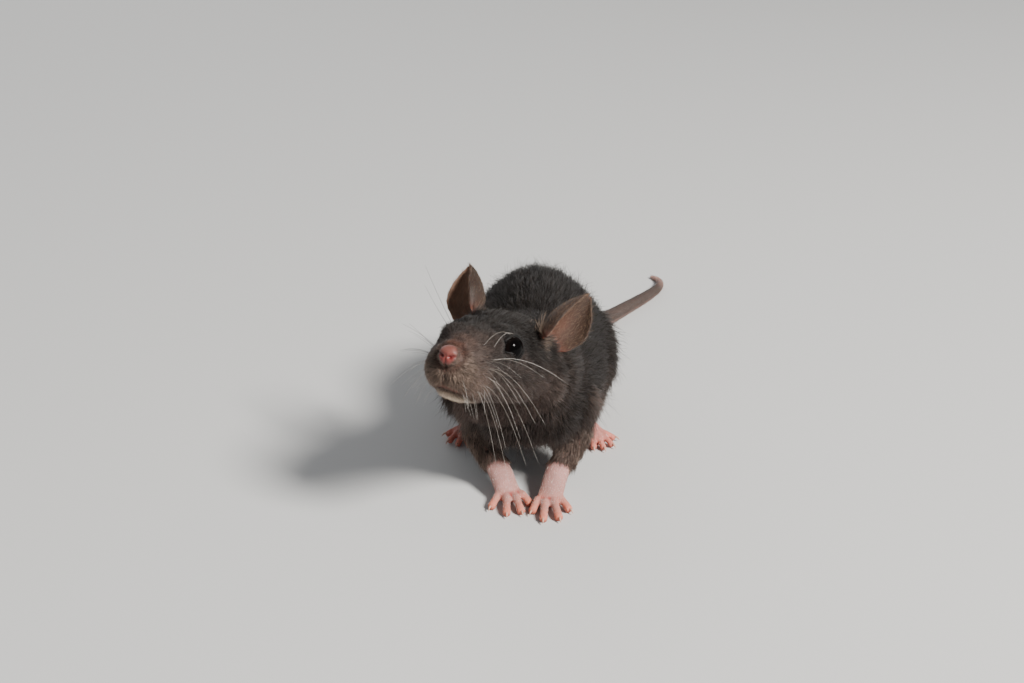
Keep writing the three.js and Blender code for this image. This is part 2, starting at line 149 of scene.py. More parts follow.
EAR_LENGTH, EAR_ROLL = 15.3, 5.0  # the leaf's length, and the radius that it is rolled to
EAR_BOW = 2.9  # four times the bow at the middle of the leaf
EAR_CURL = {"inner": (125, 116), "outer": (72, 98)}  # degrees that each edge reaches round, at base and tip
EAR_BASE = np.array([8.6, 5.4, 4.4])  # in the head's frame
EAR_OUT, EAR_BACK = 27, 13  # degrees that the ear leans outwards and backwards
EAR_TURN = {"left": 53, "right": 20}  # degrees that its mouth is turned outwards


def ear_turn(side):
    sign = 1 if side == "left" else -1
    return np.array(
        Matrix.Rotation(math.radians(-EAR_BACK), 3, "X")
        @ Matrix.Rotation(math.radians(sign * EAR_OUT), 3, "Y")
        @ Matrix.Rotation(math.radians(sign * EAR_TURN[side]), 3, "Z")
    )


def ear(form, side):
    """An ear: a leaf rolled into a funnel at its base, open to the front, with a rim of even thickness."""
    sign = 1 if side == "left" else -1
    ball = bmesh.ops.create_uvsphere(form, u_segments=72, v_segments=48, radius=1)["verts"]
    unit = np.array([v.co for v in ball])
    height = (1 - unit[:, 2]) / 2
    ring = np.sqrt(np.clip(1 - unit[:, 2] ** 2, 1e-9, None))
    across = np.clip(unit[:, 0] / ring, -1, 1)
    front = unit[:, 1] / ring
    front = np.sign(front) * np.abs(front) ** 0.45
    open_ = dome(height / 0.12) * (1 - np.clip((height - 0.4) / 0.6, 0, None) ** 1.5)
    radius = EAR_ROLL * (0.8 + 0.2 * np.minimum(1, 3 * height)) * open_ + 1e-6
    low = np.where(across < 0, EAR_CURL["inner"][0], EAR_CURL["outer"][0])
    high = np.where(across < 0, EAR_CURL["inner"][1], EAR_CURL["outer"][1])
    curl = across * np.radians(low + (high - low) * np.minimum(1, 1.3 * height))
    thick = (1.05 - 0.45 * height) * np.minimum(1, 1.6 * open_ + 0.15)
    r = radius - front * thick / 2
    bow = EAR_BOW * height * (1 - height)
    leaf = np.stack([sign * r * np.sin(curl), r * np.cos(curl) - radius + bow, height * EAR_LENGTH], axis=1)
    base = EAR_BASE * (sign, 1, 1)
    for v, co in zip(ball, (leaf @ ear_turn(side).T + base) @ HEAD_TURN.T + HEAD_AT):
        v.co = co * MM
    if sign < 0:
        bmesh.ops.reverse_faces(form, faces=list({f for v in ball for f in v.link_faces}))


def mesh_of(form, name):
    """A bmesh's shape as a mesh."""
    mesh = bpy.data.meshes.new(name)
    form.to_mesh(mesh)
    form.free()
    return mesh


def placed(name, data):
    """A new object in the scene."""
    made = bpy.data.objects.new(name, data)
    bpy.context.scene.collection.objects.link(made)
    return made


def modified(holder):
    """The mesh that an object's modifier makes, put in the place of its own."""
    made = bpy.data.meshes.new_from_object(holder.evaluated_get(bpy.context.evaluated_depsgraph_get()))
    holder.modifiers.clear()
    holder.data = made
    return made


def closed_copy(name, out=0.2):
    """A frame node's mesh with its loose triangles joined, drawn out a little so that the cuts close."""
    form = bmesh.new()
    form.from_mesh(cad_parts[name].data)
    bmesh.ops.remove_doubles(form, verts=form.verts, dist=2e-6)
    form.normal_update()
    for v in form.verts:
        v.co += v.normal * out * MM
    return mesh_of(form, name + "_copy")


flesh = [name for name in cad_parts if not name.startswith("eye_")]
drawn = ("hand", "foot", "forearm", "ear", "tail")
form = bmesh.new()
for name in flesh:
    if not name.startswith(drawn):
        form.from_mesh(closed_copy(name))
for side in ("left", "right"):
    sign = 1 if side == "left" else -1
    ear(form, side)
    limb(form, FOREARMS[side], up=(0, -1, 0), ends=(0.25, 0.1))
    limb(form, PALMS[side])
    for root, tip in FINGERS[side]:
        digit(form, root, tip)
    sole, toes = FEET[side]
    limb(form, sole)
    for root, tip in toes:
        digit(form, root, tip, 0.82)
    ball = HEAD_TURN @ (EYE_AT * (sign, 1, 1)) + HEAD_AT
    bmesh.ops.create_icosphere(form, subdivisions=4, radius=(EYE_RADIUS + LID_STOCK) * MM,
                               matrix=Matrix.Translation(Vector(ball * MM)))
limb(form, TAIL, around=24, along=160, ends=(0.04, 0.03))
mesh = mesh_of(form, "skin")
skin = placed("skin", mesh)
remesh = skin.modifiers.new("one_sheet", "REMESH")
remesh.mode = "VOXEL"
remesh.voxel_size = VOXEL * MM
shaped = modified(skin)
bpy.data.meshes.remove(mesh)

# ---------- the skin's surface ----------
# The sheet is smoothed, drawn in by the depth of the coat over each part of the body, and given the folds of
# the face: lids, nostrils, the cleft under the nose, the mouth and the whisker pads.
form = bmesh.new()
form.from_mesh(shaped)
bodies, seen = [], set()
form.verts.ensure_lookup_table()
for start in form.verts:
    if start.index in seen:
        continue
    body, ahead = [start], [start]
    seen.add(start.index)
    while ahead:
        for edge in ahead.pop().link_edges:
            for v in edge.verts:
                if v.index not in seen:
                    seen.add(v.index)
                    body.append(v)
                    ahead.append(v)
    bodies.append(body)
bodies.sort(key=len)
for inner in bodies[:-1]:  # hollows closed inside the body
    bmesh.ops.delete(form, geom=inner, context="VERTS")


def head_place(points):
    """Millimetres in the head's frame."""
    return (points - HEAD_AT) @ HEAD_TURN


def eye_distance(h):
    """Millimetres from the nearer eye's middle, for points in the head's frame."""
    return np.minimum(*(np.linalg.norm(h - EYE_AT * (sign, 1, 1), axis=1) for sign in (1, -1)))


def ramp(values, start, width):
    """0 up to the start, 1 from start + width on, straight between; a negative width runs the other way."""
    return np.clip((values - start) / width, 0, 1)


def hump(values, middle, reach):
    """1 at the middle, falling smoothly to 0 on both sides."""
    return np.exp(-(((values - middle) / reach) ** 2))


# Round the eyes and on the muzzle the faces are halved, for the folds there.
form.verts.index_update()
h = head_place(np.array([v.co for v in form.verts]) / MM)
folded = (eye_distance(h) < 5.2) | ((h[:, 1] < -17.5) & (h[:, 2] < 1.5) & (h[:, 2] > -14))
halved = [e for e in form.edges if folded[e.verts[0].index] and folded[e.verts[1].index]]
bmesh.ops.subdivide_edges(form, edges=halved, cuts=1, use_grid_fill=True)
bmesh.ops.triangulate(form, faces=[f for f in form.faces if len(f.verts) > 4])
form.verts.ensure_lookup_table()
form.faces.ensure_lookup_table()
form.verts.index_update()
place = np.array([v.co for v in form.verts]) / MM
edges = np.array([[v.index for v in e.verts] for e in form.edges])
faces = [[v.index for v in f.verts] for f in form.faces]
triangles = np.array([[f[0], f[k], f[k + 1]] for f in faces for k in range(1, len(f) - 1)])
form.free()
count = len(place)
links = np.bincount(edges.ravel(), minlength=count).astype(float)


def soften(values, steps, strength=0.5):
    """Evens values out over the skin, each step drawing a point towards its neighbours' mean."""
    values = values.astype(float).copy()
    flat = values[:, None] if values.ndim == 1 else values
    strength = np.broadcast_to(strength, count)
    for _ in range(steps):
        for k in range(flat.shape[1]):
            mean = (np.bincount(edges[:, 0], flat[edges[:, 1], k], count)
                    + np.bincount(edges[:, 1], flat[edges[:, 0], k], count)) / links
            flat[:, k] += strength * (mean - flat[:, k])
    return flat[:, 0] if values.ndim == 1 else flat


def outward(points):
    """Unit normals at the skin's points."""
    a, b, c = (points[triangles[:, k]] for k in range(3))
    n = np.cross(b - a, c - a)
    total = np.zeros((count, 3))
    for k in range(3):
        for axis in range(3):
            total[:, axis] += np.bincount(triangles[:, k], n[:, axis], count)
    return total / np.linalg.norm(total, axis=1)[:, None].clip(1e-9)


# Each point of the skin belongs to the frame's nearest node.
corners, loose, owner = [], [], []
for number, name in enumerate(flesh):
    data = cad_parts[name].data
    data.calc_loop_triangles()
    first = len(corners)
    corners += [v.co.copy() for v in data.vertices]
    loose += [tuple(first + i for i in t.vertices) for t in data.loop_triangles]
    owner += [number] * len(data.loop_triangles)
nearest = BVHTree.FromPolygons(corners, loose)
owner = np.array(owner)
region = owner[[nearest.find_nearest(Vector(p * MM))[2] for p in place]]


def sideless(name):
    """A part's name without its side."""
    return name.replace("_left", "").replace("_right", "")


def by_part(values, other=0.0):
    """A value for each point of the skin from a table of parts, whichever side they are on."""
    return np.array([values.get(n, values.get(sideless(n), other)) for n in flesh], float)[region]


slack = by_part({"ear": 0.10, "chest": 1, "loins": 1, "neck": 1, "thigh": 0.8, "upper_arm": 0.8, "shank": 0.5,
                 "head": 0.6, "jaw": 0.35, "muzzle": 0.4, "nose": 0.1, "forearm": 0.15, "tail_base": 0.1},
                other=0.05)
slack = soften(slack, 12)
place = soften(place, 90, 0.85 * slack)
coat_depth = by_part({"chest": 2.7, "loins": 2.7, "neck": 2.4, "thigh": 2.4, "upper_arm": 1.9, "shank": 1.2,
                      "forearm": 0.3, "tail_base": 0.1, "head": 1.15, "jaw": 0.8, "muzzle": 0.6})
to_eye = eye_distance(head_place(place))
hem = ramp(place[:, 2], 17, -4) * ramp((place - ORIGIN)[:, 1], -15, -4)
hem *= by_part({"chest": 1, "neck": 1})  # the chest's lower edge between the forelegs
coat_depth = soften(coat_depth + 0.9 * hem, 60, 0.7)
coat_depth *= np.clip((to_eye - 2.5) / 3.5, 0.25, 1)
normal = soften(outward(place), 6)
place -= normal * coat_depth[:, None]


def bump_at(points, middle, reach):
    """1 at a place, falling to 0 around it."""
    return np.exp(-np.sum(((points - middle) / reach) ** 2, axis=1))


def mirrored_bumps(h, bumps):
    """The sum of bumps and their mirror images: each one's height, middle on the left, and reach."""
    total = np.zeros(count)
    for sign in (1, -1):
        for height, middle, reach in bumps:
            total += height * bump_at(h, np.array(middle) * (sign, 1, 1), reach)
    return total


FACE_SWELLS = (
    (0.70, (4.6, -17.6, -5.2), (2.6, 3.6, 2.9)),  # whisker pads
    (-0.85, (5.0, -16.6, 0.4), (2.4, 4.0, 2.2)),  # hollows beside the bridge of the nose
    (0.45, (9.5, -1.5, -6.5), (4, 5, 4)),  # cheeks
    (1.15, (6.9, -11.0, 2.4), (2.0, 2.6, 2.9)),  # in front of the eyes
    (0.70, (5.0, -8.8, 5.2), (2.1, 4.4, 2.0)),  # brows
    (1.10, (5.7, -12.0, 3.2), (2.4, 4.2, 2.3)),  # the brows' front ends
)
NOSTRILS = (
    (1, (1.0, -22.6, -2.3), (0.55, 0.9, 0.42)),
    (0.7, (1.6, -22.2, -1.9), (0.5, 0.9, 0.34)),  # the slit that runs up and out from the hole
)
normal = outward(place)
place += normal * mirrored_bumps(head_place(place), FACE_SWELLS)[:, None]

# The throat runs back from the chin to the chest in one slope.
throat_front = -63.5 + 0.6 * (31 - place[:, 2])
hanging = (throat_front - place[:, 1]).clip(0, None) * ramp(place[:, 2], 33, -3) * ramp(place[:, 2], 9, 3)
place[:, 1] += 0.92 * soften(hanging, 25)

# The mouth: a line from under the cleft back along each cheek, and the chin drawn in behind it.
h = head_place(place)
aside = np.abs(h[:, 0])
mouth_z = -8.5 - 0.085 * aside ** 2
gape = hump(h[:, 2], mouth_z, 0.54) * ramp(aside, 5.0, -1.5) * ramp(h[:, 1], -14.5, -1.5) * (h[:, 2] < -4)
cleft = hump(h[:, 0], 0, 0.34) * (h[:, 1] < -17.5) * ramp(h[:, 2], -3.9, -0.6)
cleft *= ramp(h[:, 2] - mouth_z, -0.5, 0.8)
nostril = mirrored_bumps(h, NOSTRILS)
pad_line = hump(h[:, 0], 0, 0.26) * (h[:, 1] < -21.2) * ramp(h[:, 2], -1.6, -0.5)
normal = soften(outward(place), 3)
place -= normal * (0.70 * gape + 0.55 * cleft + 0.65 * nostril.clip(0, 1) + 0.22 * pad_line)[:, None]

# Eyelids: inside the opening the skin passes behind the eyeball; around it a thick lid hugs the ball.
EYE_LOOK = np.array([0.868, -0.455, 0.213])  # the left eye's direction
EYE_LOOK /= np.linalg.norm(EYE_LOOK)
EYE_FRONT = np.array([0, -1.0, 0]) - EYE_LOOK * -EYE_LOOK[1]
EYE_FRONT /= np.linalg.norm(EYE_FRONT)
EYE_UP = np.cross(EYE_FRONT, EYE_LOOK)
EYE_UP *= np.sign(EYE_UP[2])
LID_OPENING = 2.86  # along the ball, from the middle of the opening to its edge
LID_SHAPE = (  # what is added to that, at how many degrees from the nose upwards, and over how many
    (1.45, 2, 20), (0.7, -130, 24), (-1.25, -50, 29), (-0.25, 58, 26),
)
LID_REACH, LID_THICK = 6.2, 0.16  # how far from the eye's middle the lids are drawn; their edge on the ball


def lid_distance(points, sign):
    """Millimetres along the ball from the lids' edge, less than 0 inside, with way and distance."""
    away = (head_place(points) - EYE_AT * (sign, 1, 1)) * (sign, 1, 1)
    far = np.linalg.norm(away, axis=1).clip(1e-6)
    d = away / far[:, None]
    turn = np.degrees(np.arctan2(d @ EYE_UP, d @ EYE_FRONT))
    edge = LID_OPENING
    for more, at, width in LID_SHAPE:
        edge = edge + more * hump((turn - at + 180) % 360 - 180, 0, width)
    return EYE_RADIUS * np.arccos(np.clip(d @ EYE_LOOK, -1, 1)) - edge, d, far


for sign in (1, -1):
    q, d, far = lid_distance(place, sign)
    near = (far < LID_REACH) & (q < 3.2)
    fold = 0.10 * hump(q, 0.28, 0.26) - 0.08 * hump(q, 0.95, 0.35)
    lid = EYE_RADIUS + LID_THICK + 0.06 * q.clip(0, None) + fold
    inside = EYE_RADIUS - 0.55 * ramp(q, 0, -0.3) + LID_THICK * np.clip(1 + q / 0.15, 0, 1)
    hug = ramp(q, 2.3, -1.5)
    hug = hug * hug * (3 - 2 * hug)
    wanted = np.where(q < 0, inside, far + (lid - far) * hug)
    step = np.where(near, wanted - far, 0)
    place += ((d * (sign, 1, 1) * step[:, None]) @ HEAD_TURN.T)
place[:, 2] = place[:, 2].clip(0.0, None)
normal = outward(place)

# ---------- the lie and the markings of the coat ----------
# Every point of the skin is given the way its hairs lie, from the nose back over the head and the body and
# down the legs, with their length, width and lift, and the colours that the hairs and the skin under them
# share.
h = head_place(place)
in_head = normal @ HEAD_TURN
left_side = np.where(h[:, 0] > 0, 1.0, -1.0)
body_side = np.where(place[:, 0] - ORIGIN[0] > 0.5, 1.0, -1.0)


def stack(x, y, z):
    """One direction for each point, from numbers or values for every point."""
    return np.stack(np.broadcast_arrays(x, y, z), axis=1).astype(float)


over_head = stack(0.22 * left_side * np.abs(in_head[:, 0]), 1.0, -0.32 * np.abs(in_head[:, 0])) @ HEAD_TURN.T
gullet = (ramp(h[:, 2], -7, -4) * ramp(h[:, 1], -3, 5))[:, None]
throat = (-normal[:, 1] - 0.2).clip(0, 1)
flank = np.abs(normal[:, 0])
ways = {
    "nose muzzle head": over_head * (1 - gullet) + np.array([0, 0.25, -1.0]) * gullet,
    "jaw": stack(0.1 * left_side, 1.0, -0.1) @ HEAD_TURN.T,
    "neck": stack(0, 1.0 - 0.5 * throat, -0.3 * flank - 1.6 * throat),
    "chest loins": stack(0, 1.0 - 0.5 * throat, -0.42 * flank - 1.3 * throat),
    "upper_arm": stack(0.12 * body_side, 0.25, -1.0), "forearm": stack(-0.3 * body_side, -0.5, -0.8),
    "hand": stack(-0.15 * body_side, -0.9, -0.35), "thigh": stack(0.2 * body_side, 0.55, -0.9),
    "shank": stack(-0.3 * body_side, 0.8, -0.5), "foot": stack(0.45 * body_side, -0.9, -0.05),
}
lie = np.zeros((count, 3))
for parts, way in ways.items():
    held = by_part(dict.fromkeys(parts.split(), 1)) > 0.5
    lie[held] = way[held]
TAIL_STEPS = 120
tail_points = spline(TAIL, np.linspace(0, 1, TAIL_STEPS))[:, :3] + ORIGIN
tail_ways = np.gradient(tail_points, axis=0)
tail_ways /= np.linalg.norm(tail_ways, axis=1)[:, None]
on_tail = by_part({"tail_base": 1, "tail_middle": 1, "tail_tip": 1}) > 0.5
nearest_ring = np.zeros(count, int)
nearest_ring[on_tail] = np.argmin(
    ((place[on_tail, None, :] - tail_points[None]) ** 2).sum(axis=2), axis=1)
lie[on_tail] = tail_ways[nearest_ring[on_tail]]
for side in ("left", "right"):
    on_ear = by_part({"ear_" + side: 1}) > 0.5
    lie[on_ear] = HEAD_TURN @ (ear_turn(side) @ np.array([0, 0, 1.0]))
lie /= np.linalg.norm(lie, axis=1)[:, None].clip(1e-6)
lie = soften(lie, 45, 0.7)
lie -= normal * np.sum(lie * normal, axis=1)[:, None]
lie /= np.linalg.norm(lie, axis=1)[:, None].clip(1e-6)

COAT = {  # length, width, lift in degrees, tufts to the square millimetre
    "chest": (5.6, 0.135, 27, 15), "loins": (6.0, 0.135, 26, 14.5), "neck": (5.2, 0.125, 26, 19),
    "thigh": (5.4, 0.13, 25, 15), "upper_arm": (4.4, 0.125, 27, 17), "shank": (3.0, 0.11, 22, 17),
    "forearm": (3.2, 0.11, 20, 19), "tail_base": (2.2, 0.09, 14, 24), "head": (2.9, 0.095, 22, 42),
    "jaw": (1.8, 0.085, 27, 46), "muzzle": (1.6, 0.075, 30, 60), "nose": (0.9, 0.06, 12, 105),
    "ear": (0.9, 0.06, 14, 0), "hand": (0.8, 0.06, 12, 0), "foot": (0.8, 0.06, 12, 0),
    "tail_middle": (0.8, 0.06, 12, 0), "tail_tip": (0.6, 0.06, 12, 0),
}
hair_length, hair_width, hair_lift, hair_count = (
    by_part({part: measures[k] for part, measures in COAT.items()}) for k in range(4))
hair_length = soften(hair_length * (1 - 0.6 * hem), 70, 0.7)
hair_width = soften(hair_width, 40, 0.7)
hair_lift = soften(hair_lift, 40, 0.7)
hair_count = soften(hair_count, 6, 0.7)

# Hairs are shorter and flatter round the eyes, and there are none on the nose pad, the lids' edges, the lips
# and the bare hands and feet. They thin out and shorten along the tail.
to_eye = eye_distance(h)
hair_length *= np.clip(0.38 + 0.62 * (to_eye - 3.2) / 4.0, 0.38, 1)
hair_lift *= np.clip(0.5 + 0.5 * (to_eye - 3.2) / 3.0, 0.5, 1)
bare = soften(by_part({"hand": 1, "foot": 1}), 8)
NOSE_PAD_AT, NOSE_PAD_SIZE = (0, -22.0, -1.6), (1.95, 2.4, 2.3)
pad_reach = np.linalg.norm((h - NOSE_PAD_AT) / NOSE_PAD_SIZE, axis=1)  # 1 at the pad's edge
nose_pad = (np.clip(1.25 - pad_reach, 0, 1) / 0.42).clip(0, 1)
lid_q = np.full(count, 9.0)
for sign in (1, -1):
    q, _, far = lid_distance(place, sign)
    lid_q = np.where(far < LID_REACH, np.minimum(lid_q, q), lid_q)
underside = np.clip(-normal[:, 2] - 0.3, 0, 1)
along_tail = nearest_ring / (TAIL_STEPS - 1)
tail_fade = np.where(on_tail, np.clip(1 - (along_tail - 0.02) / 0.28, 0, 1), 1)
hair_count *= (ramp(lid_q, 0.02, 0.2) * (1 - (1.7 * nose_pad - 0.7).clip(0, 1))
               * np.clip(1.2 - 1.4 * bare, 0, 1))
hair_count *= (1 - 0.97 * (gape > 0.42)) * (1 - 0.5 * underside * (h[:, 1] > 5))
hair_count *= ramp(place[:, 2], 0.35, 0.5)
hair_count *= tail_fade ** 0.5
hair_length *= 0.45 + 0.55 * tail_fade

# Cream chin and lips, grey-brown cheeks, a darker crown and back, a paler belly, and rosy bare skin.
COLOURS = {  # screen values of 0 to 255
    "fur": (80, 67, 61), "body": (44, 36, 32), "crown_and_back": (34, 28, 24), "legs": (110, 95, 86),
    "belly": (96, 86, 80), "muzzle": (92, 66, 55), "chin": (204, 186, 166), "bridge": (72, 50, 40),
    "round_pad": (92, 60, 50), "wrist": (166, 122, 115), "toe_ends": (205, 118, 92),
    "crannies": (150, 44, 36), "soles": (150, 60, 52), "feet": (192, 116, 106),
    "nose_pad": (114, 68, 61), "pad_below": (114, 48, 45), "pad_above": (92, 62, 52),
    # ear_inside_left and ear_inside_right differ by painted light: the right ear's inside is painted much
    # lighter
    "nostrils": (96, 26, 28), "mouth": (150, 72, 62), "ear": (47, 34, 27), "ear_inside_left": (61, 47, 39),
    "ear_inside_right": (126, 97, 79), "ear_glow": (88, 52, 37), "ear_root": (132, 84, 72),
    "tail": (69, 57, 52), "tail_end": (190, 150, 138), "tail_below": (176, 140, 130),
    "lid_fold": (40, 33, 30), "lid_rim": (7, 6, 6), "ear_down": (86, 70, 58), "ear_tufts": (120, 104, 91),
    "hand_down": (232, 220, 208), "tail_down": (92, 80, 74),
}


def colour(name):
    """A marking's linear colour."""
    screen = np.array(COLOURS[name]) / 255
    return np.where(screen < 0.04045, screen / 12.92, ((screen + 0.055) / 1.055) ** 2.4)


def plain(name):
    """One marking's colour at every point of the skin."""
    return np.broadcast_to(colour(name), (count, 3))


def paint(under, *layers):
    """Colours with markings laid over them one after another, each by its share."""
    for name, share in layers:
        share = np.broadcast_to(share, count)[:, None]
        under = under * (1 - share) + colour(name) * share
    return under


def ripple(points, size, seed):
    """Soft patches of light and dark, -1 to 1, a few millimetres across."""
    made = np.zeros(len(points))
    turns = np.random.default_rng(seed).normal(size=(7, 3))
    for k, way in enumerate(turns):
        along = points @ (way / np.linalg.norm(way))
        made += np.sin(along * (2 * math.pi / size) * (0.7 + 0.12 * k) + 2.1 * k)
    return (made / 3.2).clip(-1, 1)


low_muzzle = ramp(h[:, 2], -1.6, -5.0) * ramp(h[:, 1], -10.5, -6.5)
chin = ramp(h[:, 2], mouth_z - 0.2, -1.2) * ramp(h[:, 1], -9.5, -6.0) * (0.5 + 0.5 * hump(h[:, 0], 0, 2.8))
front = ramp(h[:, 1], -18.5, -3.0) * ramp(h[:, 2], 1.5, -4.0)
on_face = by_part({"nose": 1, "muzzle": 1, "jaw": 1, "head": 1}) > 0.5
pale = soften(np.where(on_face, np.clip(0.09 * low_muzzle + 0.85 * chin + 0.12 * front, 0, 1), 0), 8)
crown = ramp(in_head[:, 2], -0.25, 0.6) * ramp(h[:, 1], -18, 6) * on_face
back = ramp(normal[:, 2], -0.05, 0.7) * by_part({"chest": 1, "loins": 1, "neck": 0.9, "thigh": 0.6})
bridge = hump(h[:, 0], 0, 2.6) * ramp(h[:, 1], -15, -4) * ramp(h[:, 2], -2.5, 2)
coat_tint = paint(
    plain("fur"),
    ("body", soften(by_part({"chest": 1, "loins": 1, "neck": 0.7, "thigh": 1}), 40)),
    ("crown_and_back", soften(np.maximum(crown, back), 25)),
    ("legs", 0.85 * ramp(place[:, 2], 21, -12) * ~on_face),
    ("belly", soften(underside * np.where(on_face, 0, 0.45), 10)),
    ("muzzle", 0.55 * low_muzzle * on_face),
    ("chin", pale),
    ("bridge", 0.85 * bridge),
    ("round_pad", 0.6 * hump(pad_reach, 1.35, 0.3)),
)
coat_tint *= (1 + 0.10 * ripple(place, 7.0, 3) + 0.10 * ripple(place, 2.6, 4))[:, None]
# Darker fur round the eyes: the fur's own dark ring, and over the brow painted shade as well.
coat_tint *= (1 - 0.32 * hump(to_eye, 4.6, 2.6))[:, None]
coat_tint *= (1 - 0.7 * hump(lid_q.clip(0, None), 0, 0.55))[:, None]

# Hands and feet have pale backs, orange toes, and a red painted shade in the hollows between the toes. The
# nose pad is rosy, deep red in the nostrils, and the cleft and the mouth are a paler red.
rose = soften(by_part({"hand": 1, "foot": 1}), 10).clip(0, 1)
wrist = soften(by_part({"hand": 1, "foot": 1, "forearm": 0.55, "shank": 0.3}), 14).clip(0, 1)
ear_mask = soften(by_part({"ear": 1}), 5).clip(0, 1)
tail_mask = soften(np.where(on_tail, 1 - tail_fade, 0), 25).clip(0, 1)
furred = (1 - ear_mask) * (1 - tail_mask) * (1 - rose) * (1 - nose_pad)
# how deep each point lies in a hollow, which sets the red painted shade between the fingers and toes
hollow_shade = np.clip(np.sum((soften(place, 14) - place) * normal, axis=1) / 0.08, -1, 1)
toe_ends = np.array([p for side in ("left", "right") for _, p in FINGERS[side] + FEET[side][1]]) + ORIGIN
to_toe = np.min(np.linalg.norm(place[:, None, :] - toe_ends[None], axis=2), axis=1)
skin_tint = paint(
    coat_tint * 0.55,
    ("wrist", (1.35 * wrist - 0.2).clip(0, 1)),
    ("toe_ends", rose * hump(to_toe, 0, 3.4) * 0.85),
    ("crannies", rose * np.clip(1.3 * hollow_shade - 0.15, 0, 1) * 0.75),
    ("soles", rose * ramp(place[:, 2], 1.3, -1.3) * 0.6),
    ("feet", by_part({"foot": 1}) * 0.5),
    ("nose_pad", nose_pad),
    ("pad_below", nose_pad * ramp(h[:, 2], -1.0, -1.6) * 0.75),
    ("pad_above", nose_pad * ramp(h[:, 2], -0.9, 1.4) * 0.6),
    ("nostrils", np.clip(1.3 * nostril - 0.25, 0, 1)),
    ("mouth", np.maximum(cleft * 0.7, gape).clip(0, 1)),
)

# Ears: thin brown leaves, orange where the light comes through near the base, rosy at the root. The two
# insides are
# a lit and a shaded copy of one colour: the right ear's is painted much lighter as painted light, the left
# ear's darker.
ear_inner = np.zeros(count)
for side, sign in (("left", 1), ("right", -1)):
    on_ear = soften(by_part({"ear_" + side: 1}), 5).clip(0, 1)
    leaf = ((h - EAR_BASE * (sign, 1, 1)) @ ear_turn(side)) * (sign, 1, 1)
    facing = (in_head @ ear_turn(side)) * (sign, 1, 1)
    up_ear = (leaf[:, 2] / EAR_LENGTH).clip(0, 1)
    axis_y = -EAR_ROLL * 0.9 + EAR_BOW * up_ear * (1 - leaf[:, 2] / EAR_LENGTH)
    rolled_to = np.stack([np.zeros(count), axis_y], axis=1)
    inner = np.clip(-np.sum(facing[:, :2] * (leaf[:, :2] - rolled_to), axis=1) / 2.5 + 0.5, 0, 1)
    ear_inner += inner * on_ear
    skin_tint = paint(
        skin_tint,
        ("ear", on_ear),
        ("ear_inside_" + side, on_ear * inner * 0.9),
        ("ear_glow", on_ear * inner * hump(up_ear, 0.3, 0.28) * hump(leaf[:, 0], 0, 2.6) * 0.6),
        ("ear_root", on_ear * hump(up_ear, 0, 0.13) * 0.7),
    )

# Tail: dark above, rosy beneath and towards the tip. Lids: a black rim, and a thin paler fold outside it.
tail_step = np.linalg.norm(np.diff(tail_points, axis=0), axis=1).mean()
tail_run = np.sum((place - tail_points[nearest_ring]) * tail_ways[nearest_ring], axis=1)
tail_run += nearest_ring * tail_step
tail_colour = paint(plain("tail"), ("tail_end", ramp(along_tail, 0.72, 0.2)),
                    ("tail_below", np.clip(-normal[:, 2] * 0.8, 0, 0.7)))
skin_tint = skin_tint * (1 - tail_mask[:, None]) + tail_colour * tail_mask[:, None]
skin_tint = paint(skin_tint, ("lid_fold", hump(lid_q, 0.6, 0.3) * 0.6),
                  ("lid_rim", np.where(lid_q < 0.12, 1, hump(lid_q, 0.12, 0.36))))
skin_tint *= (1 + 0.07 * ripple(place, 1.7, 9))[:, None]
wet = np.clip(0.4 * nose_pad + 0.6 * np.clip(nostril, 0, 1), 0, 1)

# An unwrap of the skin's own shape, taken on a coarse copy, gives each tuft its place on the bake.
coarse = bpy.data.meshes.new("coarse_skin")
coarse.from_pydata((place * MM).tolist(), [], faces)
coarse_skin = placed("coarse_skin", coarse)
thin = coarse_skin.modifiers.new("coarser", "DECIMATE")
thin.ratio = 0.025
light = modified(coarse_skin)
bpy.context.view_layer.objects.active = coarse_skin
coarse_skin.select_set(True)
bpy.ops.object.mode_set(mode="EDIT")
bpy.ops.mesh.select_all(action="SELECT")
bpy.ops.uv.smart_project(angle_limit=math.radians(66), island_margin=0.004)
bpy.ops.object.mode_set(mode="OBJECT")
light.calc_loop_triangles()
coarse_points = np.array([v.co for v in light.vertices]) / MM
coarse_faces = np.array([t.vertices for t in light.loop_triangles])
coarse_loops = np.array([t.loops for t in light.loop_triangles])
coarse_map = np.array([d.uv for d in light.uv_layers.active.data])
bpy.data.objects.remove(coarse_skin)
on_coarse = BVHTree.FromPolygons([Vector(p) for p in coarse_points], coarse_faces.tolist())


def bake_place(points):
    """Where points of the skin lie on the unwrap."""
    found = [on_coarse.find_nearest(Vector(p)) for p in points]
    hit = np.array([f[2] for f in found])
    at = np.array([f[0] for f in found])
    a, b, c = (coarse_points[coarse_faces[hit, k]] for k in range(3))
    n = np.cross(b - a, c - a)
    full = np.sum(n * n, axis=1).clip(1e-12)
    u = np.sum(np.cross(c - b, at - b) * n, axis=1) / full
    v = np.sum(np.cross(a - c, at - c) * n, axis=1) / full
    share = np.stack([u, v, 1 - u - v], axis=1).clip(0, 1)
    return sum(coarse_map[coarse_loops[hit, k]] * share[:, k, None] for k in range(3))


# ---------- the skin's finish ----------
# Under the fur the skin carries the coat's own colours. Bare, it is thin, rosy and finely creased on the
# hands and feet, brown and downy on the ears, and ringed with small scales along the tail.
def shader_group(name, inputs, outputs):
    """A group of shader nodes with inputs (name, kind, default) and outputs (name, kind)."""
    group = bpy.data.node_groups.new(name, "ShaderNodeTree")
    for label, kind, value in inputs:
        socket = group.interface.new_socket(name=label, in_out="INPUT", socket_type=kind)
        socket.default_value = value
    for label, kind in outputs:
        group.interface.new_socket(name=label, in_out="OUTPUT", socket_type=kind)
    return group, group.nodes.new("NodeGroupInput"), group.nodes.new("NodeGroupOutput")


